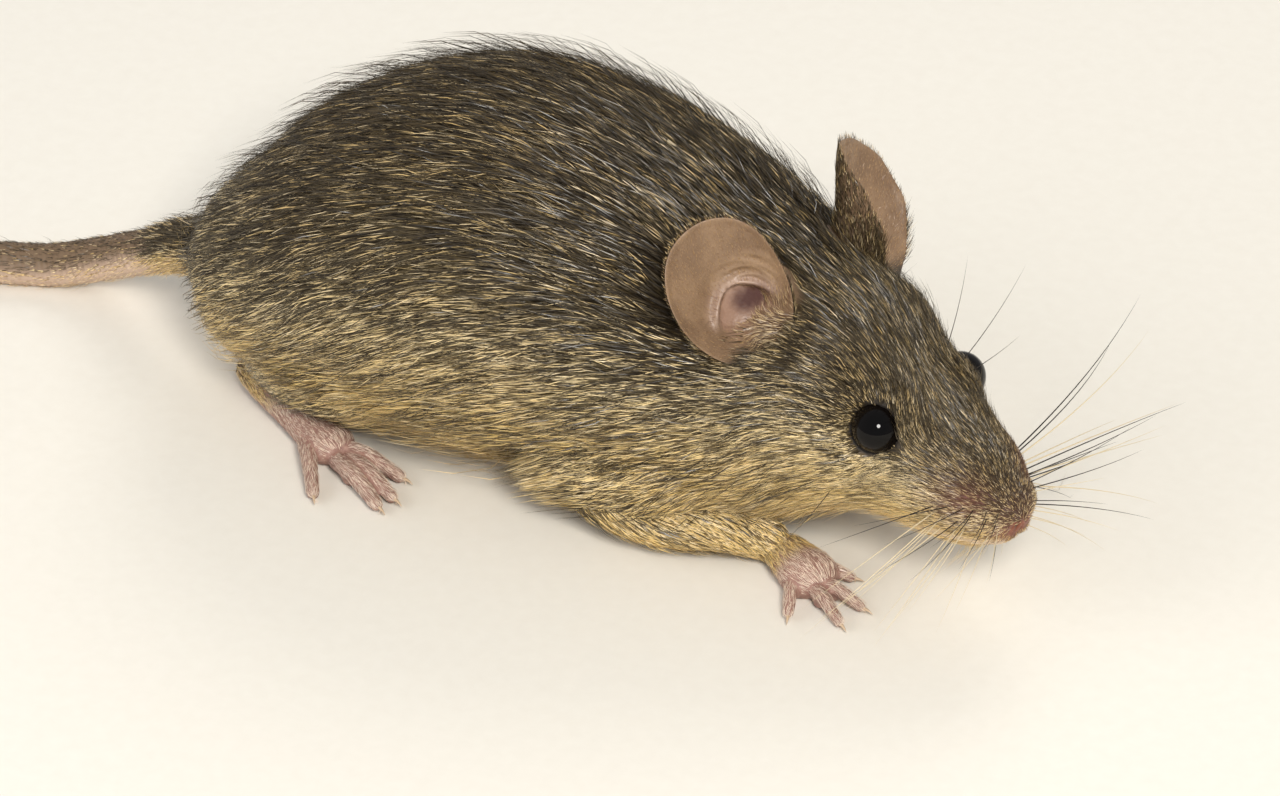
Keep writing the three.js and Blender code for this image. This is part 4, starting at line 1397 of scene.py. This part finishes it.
def add_ear_down(material, rng):
    """Fine down over both faces of the ears, longer and darker at the back's root, with a close
    fringe along the rim."""
    for side, hand in HANDS:
        root, up, out, _ = ear_frame(side)
        grid = ear_grid(side)
        shape = grid.shape[:2]
        height, across, _ = ear_coordinates(grid, side)
        tilt = np.linspace(0, math.pi, EAR_RINGS)[:, None] + np.zeros(shape)
        behind = smoothstep(1.45, 1.75, tilt)
        rim = bump(tilt - math.pi / 2, 0.35)
        base = 1 - smoothstep(1.5, 5.0, height)
        notch = (1 - smoothstep(1.0, 4.2, height)) * (1 - behind) * (1 - smoothstep(-1.2, 1.2, across))
        length = 0.5 + 0.45 * behind * (1 - rim) + 1.3 * base * behind + 1.2 * notch
        fields = dict(density=(30 + 26 * behind + 40 * base * behind + 30 * notch) * (height > 0.3),
                      length=length, rise=0.08 + 0.10 * length, width=0.020 + 0.014 * behind + 0.014 * notch,
                      pale=0.72 - 0.72 * behind - 0.35 * notch, pink=0.9 * (1 - behind) - 0.4 * notch,
                      short=np.ones(shape))
        middle = EAR_BOWL[0] * out + EAR_BOWL[1] * up
        flow = unit(unit(grid - root - middle) + 0.8 * up + (0.5 * rim)[..., None] * up)
        flow = unit(flow * (1 - notch)[..., None] + notch[..., None] * (0.55 * up + 0.85 * out))
        add_coat([f"ear_down_{hand}"], grid, grid, flow, fields, 2, rng, material,
                 check=everywhere, lattice=(1.0, 0.6), unruly=0.25)


def add_foot_hairs(material, rng):
    """Short pale hairs along the tops of the feet and toes."""
    for side, hand in HANDS:
        for which, plan in LIMBS.items():
            _, sole, roots, tips = limb_rows(which, side)
            paths = [(sole, SOLE_FLATNESS)]
            paths += [(toe_rows(root, tip, plan["radius"]), 1.0) for root, tip in zip(roots, tips)]
            for number, (rows, flatness) in enumerate(paths):
                grid = tube(rows, 20, 24, flatness)
                shape = grid.shape[:2]
                top = smoothstep(0.0, 0.5, grid_normals(grid)[..., 2])
                down = np.linspace(0, 1, shape[0])[:, None] + np.zeros(shape)
                back = (1 - smoothstep(0.15, 0.6, down)) if number == 0 else np.zeros(shape)
                fields = dict(density=(48 + 40 * back) * top, length=0.75 + 0.75 * back,
                              rise=0.12 + 0.06 * back, width=0.030 + 0.014 * back,
                              pale=1.6 - 0.9 * back, pink=0.12 + 0 * down, short=np.ones(shape))
                flow = unit(np.gradient(grid, axis=0))
                add_coat([f"{which}_foot_hairs_{hand}_{number}"], grid, grid, flow, fields, 2, rng,
                         material, check=everywhere)


def bristles(name, roots, ways, lengths, radii, droop, material):
    """Round hairs, as one piece. Their line is root + length (t way + t^2 droop), with t from 0 to 1,
    and their radius falls as 1 - 0.93 t^1.3."""
    steps, rounds = 12, 5
    t = np.linspace(0, 1, steps + 1)
    share = t[None, :, None]
    line = roots[:, None] + lengths[:, None, None] * (share * ways[:, None] + share ** 2 * droop[:, None])
    along = unit(np.gradient(line, axis=1))
    side = unit(np.cross(along, HEAD_UP + 0.01))[:, :, None]
    top = np.cross(side, along[:, :, None])
    angle = np.linspace(0, 2 * math.pi, rounds, endpoint=False)[None, None, :, None]
    wide = radii[:, None] * (1 - 0.93 * t ** 1.3)[None, :]
    grid = line[:, :, None] + (side * np.cos(angle) + top * np.sin(angle)) * wide[:, :, None, None]
    grid[:, -1] = line[:, -1:, :]
    grid[..., 2] = np.maximum(grid[..., 2], 0.12)
    points, faces, base = [], [], 0
    for one in grid:
        p, f = closed_faces(np.concatenate([one[:1].mean(1, keepdims=True) + 0 * one[:1], one]))
        points.append(p)
        faces += [tuple(i + base for i in face) for face in f]
        base += len(p)
    along = np.concatenate([np.concatenate([[0.0], np.repeat(t[:-1], rounds), [1.0]]) for _ in grid])
    return finished(publish(name, np.concatenate(points), faces, {"along": along}), material)


def on_face(grid, ahead, aside, above):
    """The point of the face nearest to each place given as the head sees it."""
    wanted = np.stack([head_place(*place) for place in zip(ahead, aside, above)])
    flat = grid.reshape(-1, 3)
    nearest = np.argmin(((wanted[:, None] - flat[None, ::3]) ** 2).sum(-1), axis=1)
    return flat[::3][nearest]


WHISKER_STRETCH = {-1: 0.88, 1: 1.40}             # the left side's whiskers are the longer ones
BROW_HAIRS = np.array([          # place as the head sees it, direction, length
    [0.6, 2.6, 1.7, 0.35, 0.55, 0.85, 8.5],
    [-0.5, 2.8, 1.9, -0.1, 0.6, 0.9, 6.5],
    [1.3, 2.7, 1.2, 0.7, 0.6, 0.7, 5.0],
    [-3.5, 4.9, -3.6, -0.3, 0.9, -0.15, 7.0],
    [-2.6, 4.6, -4.4, 0.1, 0.9, -0.4, 5.5],
])


def add_whiskers(rng):
    """Four rows of whiskers on each pad, short in front and long behind, fanned forward above and
    back below, then the hairs over the eyes, on the cheeks and under the chin."""
    grid = body_grid()
    dark = bristle_finish("whisker dark", rgb(36, 28, 20))
    pale = bristle_finish("whisker pale", rgb(214, 196, 160))
    for side, hand in HANDS:
        row, column = (index.ravel() for index in np.meshgrid(np.arange(4), np.arange(6), indexing="ij"))
        shake = rng.normal(0, 1, (4, len(row)))
        ahead = 8.3 - 0.72 * column - 0.12 * row + 0.08 * shake[0]
        aside = side * (1.5 + 0.30 * column - 0.1 * row)
        above = -3.9 - 0.62 * row + 0.05 * column + 0.05 * shake[1]
        yaw = np.radians(48 + 8 * column + 4 * row + 4 * shake[2])
        lift = np.radians(17 - 15 * row + 4 * shake[3])
        level = np.cos(lift)
        ways = np.stack([level * np.cos(yaw), side * level * np.sin(yaw), np.sin(lift)], -1) @ HEAD_AXES
        lengths = 4.6 + 2.6 * column - 0.2 * column ** 2 + rng.uniform(-0.8, 0.8, len(row))
        lengths = lengths * np.where(row == 3, 0.75, 1.0) * WHISKER_STRETCH[side]
        droop = -(0.10 + 0.04 * row)[:, None] * HEAD_UP - 0.18 * HEAD_AHEAD + 0.03 * shake[:3].T
        radii = 0.024 + 0.0017 * lengths
        roots = on_face(grid, ahead, aside, above) - 0.1 * ways
        light = rng.random(len(row)) < 0.25 + 0.2 * row
        for kind, these, material in (("whiskers", ~light, dark), ("whiskers_pale", light, pale)):
            bristles(f"{kind}_{hand}", roots[these], ways[these], lengths[these], radii[these],
                     droop[these], material)
        roots = on_face(grid, BROW_HAIRS[:, 0], side * BROW_HAIRS[:, 1], BROW_HAIRS[:, 2])
        ways = unit(np.stack([head_way(a, side * b, c) for a, b, c in BROW_HAIRS[:, 3:6]]))
        bristles(f"brow_hairs_{hand}", roots, ways, BROW_HAIRS[:, 6], np.full(5, 0.032),
                 -0.12 * HEAD_AHEAD + 0 * ways, dark)
    count = 26
    chin = np.stack([rng.uniform(4.5, 8.0, count), rng.uniform(-1.6, 1.6, count), np.full(count, -8.2)], 1)
    roots = on_face(grid, *chin.T)
    ways = unit(np.stack([head_way(0.1 - 0.5 * rng.random(), 0.35 * a, -0.8) for a in chin[:, 1]]))
    bristles("chin_hairs", roots, ways, rng.uniform(1.6, 3.6, count), np.full(count, 0.024),
             -0.3 * HEAD_AHEAD + 0 * ways, pale)


def bristle_finish(name, colour):
    """Horn-smooth hair, one colour."""
    return Finish(name).surface(Base_Color=colour, Roughness=0.35, Specular_IOR_Level=0.5)


def add_claws():
    """A curved cone beyond each toe's tip, pointing a little down."""
    material = Finish("claw").surface(Base_Color=rgb(196, 170, 140), Roughness=0.3)
    for side, hand in HANDS:
        for which, plan in LIMBS.items():
            _, _, roots, tips = limb_rows(which, side)
            ways = unit(np.column_stack([unit(tips - roots), np.full(len(tips), 0.12)]))
            start = np.column_stack([tips, np.full(len(tips), plan["radius"] * 0.95)])
            start = start + (0.28 * plan["radius"] - 0.25) * ways
            bristles(f"{which}_claws_{hand}", start, ways, np.full(len(tips), CLAW_LENGTH),
                     np.full(len(tips), CLAW_RADIUS), -0.38 * HEAD_UP + 0 * ways, material)


def coat_finish():
    """Agouti hairs: slate at the root, a straw band, a black tip. Dark hairs without a band are
    thick along the back and few on the flanks, and towards the belly the hairs are buff. A few bands are
    lightened towards white as painted glints."""
    f = Finish("coat")
    along, vary, pale = f.number("along"), f.number("vary"), f.number("pale")
    kind, lock, pink = f.number("kind"), f.number("lock"), f.number("pink")
    short = f.number("short")
    start = 0.50 - 0.18 * short + 0.22 * vary
    band = f.between(along, start - 0.04, start + 0.10)
    tip = f.between(along, start + 0.24 + 0.12 * short, start + 0.38 + 0.12 * short)
    tip = tip * (1 - f.between(pale, 0.35, 0.75))
    straw = f.node("ShaderNodeValToRGB", {"stops": STRAW}, {0: pale})
    # Painted glints: a few hairs' bands lightened towards white.
    straw = f.mix(0.6 * vary * vary, straw, rgb(250, 236, 206))
    root = f.mix(pale, rgb(54, 46, 32), rgb(150, 126, 84))
    colour = f.mix(band, root, straw)
    colour = f.mix(tip * 0.9, colour, DARK_HAIR)
    share = 0.70 * (1 - f.between(pale, -0.1, 0.62)) + 0.03
    dark = 1 - f.between(kind - 0.27 * lock, share, share + 0.06)
    colour = f.mix(dark * (1 - f.between(pale, 0.6, 0.95)) * 0.9, colour, DARK_HAIR)
    colour = f.mix(pink * 0.62, colour, rgb(132, 84, 68))
    colour = f.mix(f.between(pale, 1.1, 1.6), colour, rgb(226, 206, 186))
    return f.surface(Base_Color=colour, Roughness=0.32, Specular_IOR_Level=0.40)


def add_floor():
    """A plain square of paper under the animal."""
    mesh = bpy.data.meshes.new("floor")
    corners = [(x * FLOOR_REACH, y * FLOOR_REACH, 0) for x, y in ((-1, -1), (1, -1), (1, 1), (-1, 1))]
    mesh.from_pydata(corners, [], [(0, 1, 2, 3)])
    mesh.materials.append(floor_finish())
    floor = linked("floor", mesh)


# ------------------------------------------------------------------------------ camera and light

CAMERA_AZIMUTH, CAMERA_HEIGHT_ANGLE = math.radians(27.0), math.radians(35.0)
CAMERA_AWAY, CAMERA_AIM = 450.0, np.array([0.0, 0.0, 4.9])
LENS, FILM = 187.3, 36.0
FLOOR_REACH = 1.2                # metres each way


def placed(point):
    """A millimetre place in the model's frame, in metres."""
    return tuple((np.asarray(point, dtype=float) + MODEL_SHIFT) * MM)


def aim(thing, place, target):
    """Puts a camera or lamp at a place, looking at a target."""
    thing.location = placed(place)
    way = Vector(placed(target)) - thing.location
    thing.rotation_euler = way.to_track_quat("-Z", "Y").to_euler()


def add_camera():
    """A long lens, to the right of the animal's front and well above it."""
    a, e = CAMERA_AZIMUTH, CAMERA_HEIGHT_ANGLE
    back = np.array([math.sin(a) * math.cos(e), -math.cos(a) * math.cos(e), math.sin(e)])
    data = bpy.data.cameras.new("camera")
    data.lens, data.sensor_width, data.sensor_fit = LENS, FILM, "HORIZONTAL"
    data.clip_start, data.clip_end = 0.02, 10.0
    camera = linked("camera", data)
    aim(camera, CAMERA_AIM + CAMERA_AWAY * back, CAMERA_AIM)
    bpy.context.scene.camera = camera


def add_light(name, place, size, power, colour, mirrored_in_eyes=True):
    """A round soft lamp at a place, so many millimetres across."""
    data = bpy.data.lights.new(name, "AREA")
    data.shape, data.size, data.energy, data.color = "DISK", size * MM, power, colour
    lamp = linked(name, data)
    lamp.visible_glossy = mirrored_in_eyes
    aim(lamp, place, (-5, 0, 8))


def add_lights():
    """A key lamp near the camera, two wide weak ones, and an even pale sky."""
    add_light("key", (220, -290, 330), 130, 2.1, (1.0, 0.97, 0.92))
    add_light("fill", (-300, -260, 220), 320, 0.7, (0.96, 0.97, 1.0), False)
    add_light("back", (-60, 330, 300), 260, 0.6, (1.0, 0.98, 0.95), False)
    world = bpy.data.worlds.new("studio")
    world.use_nodes = True
    colour, strength = world.node_tree.nodes["Background"].inputs[:2]
    colour.default_value = (0.92, 0.95, 1.0, 1.0)
    strength.default_value = 0.42
    bpy.context.scene.world = world
    bpy.context.scene.view_settings.view_transform = "Standard"


hide = add_skin()
add_eyes()
coat_material = coat_finish()
randoms = np.random.default_rng(7)
add_body_coat(coat_material, randoms, hide)
add_leg_coats(coat_material, randoms, hide)
add_tail_hairs(coat_material, randoms)
add_ear_down(coat_material, randoms)
add_foot_hairs(coat_material, randoms)
add_whiskers(randoms)
add_claws()
add_floor()
add_camera()
add_lights()
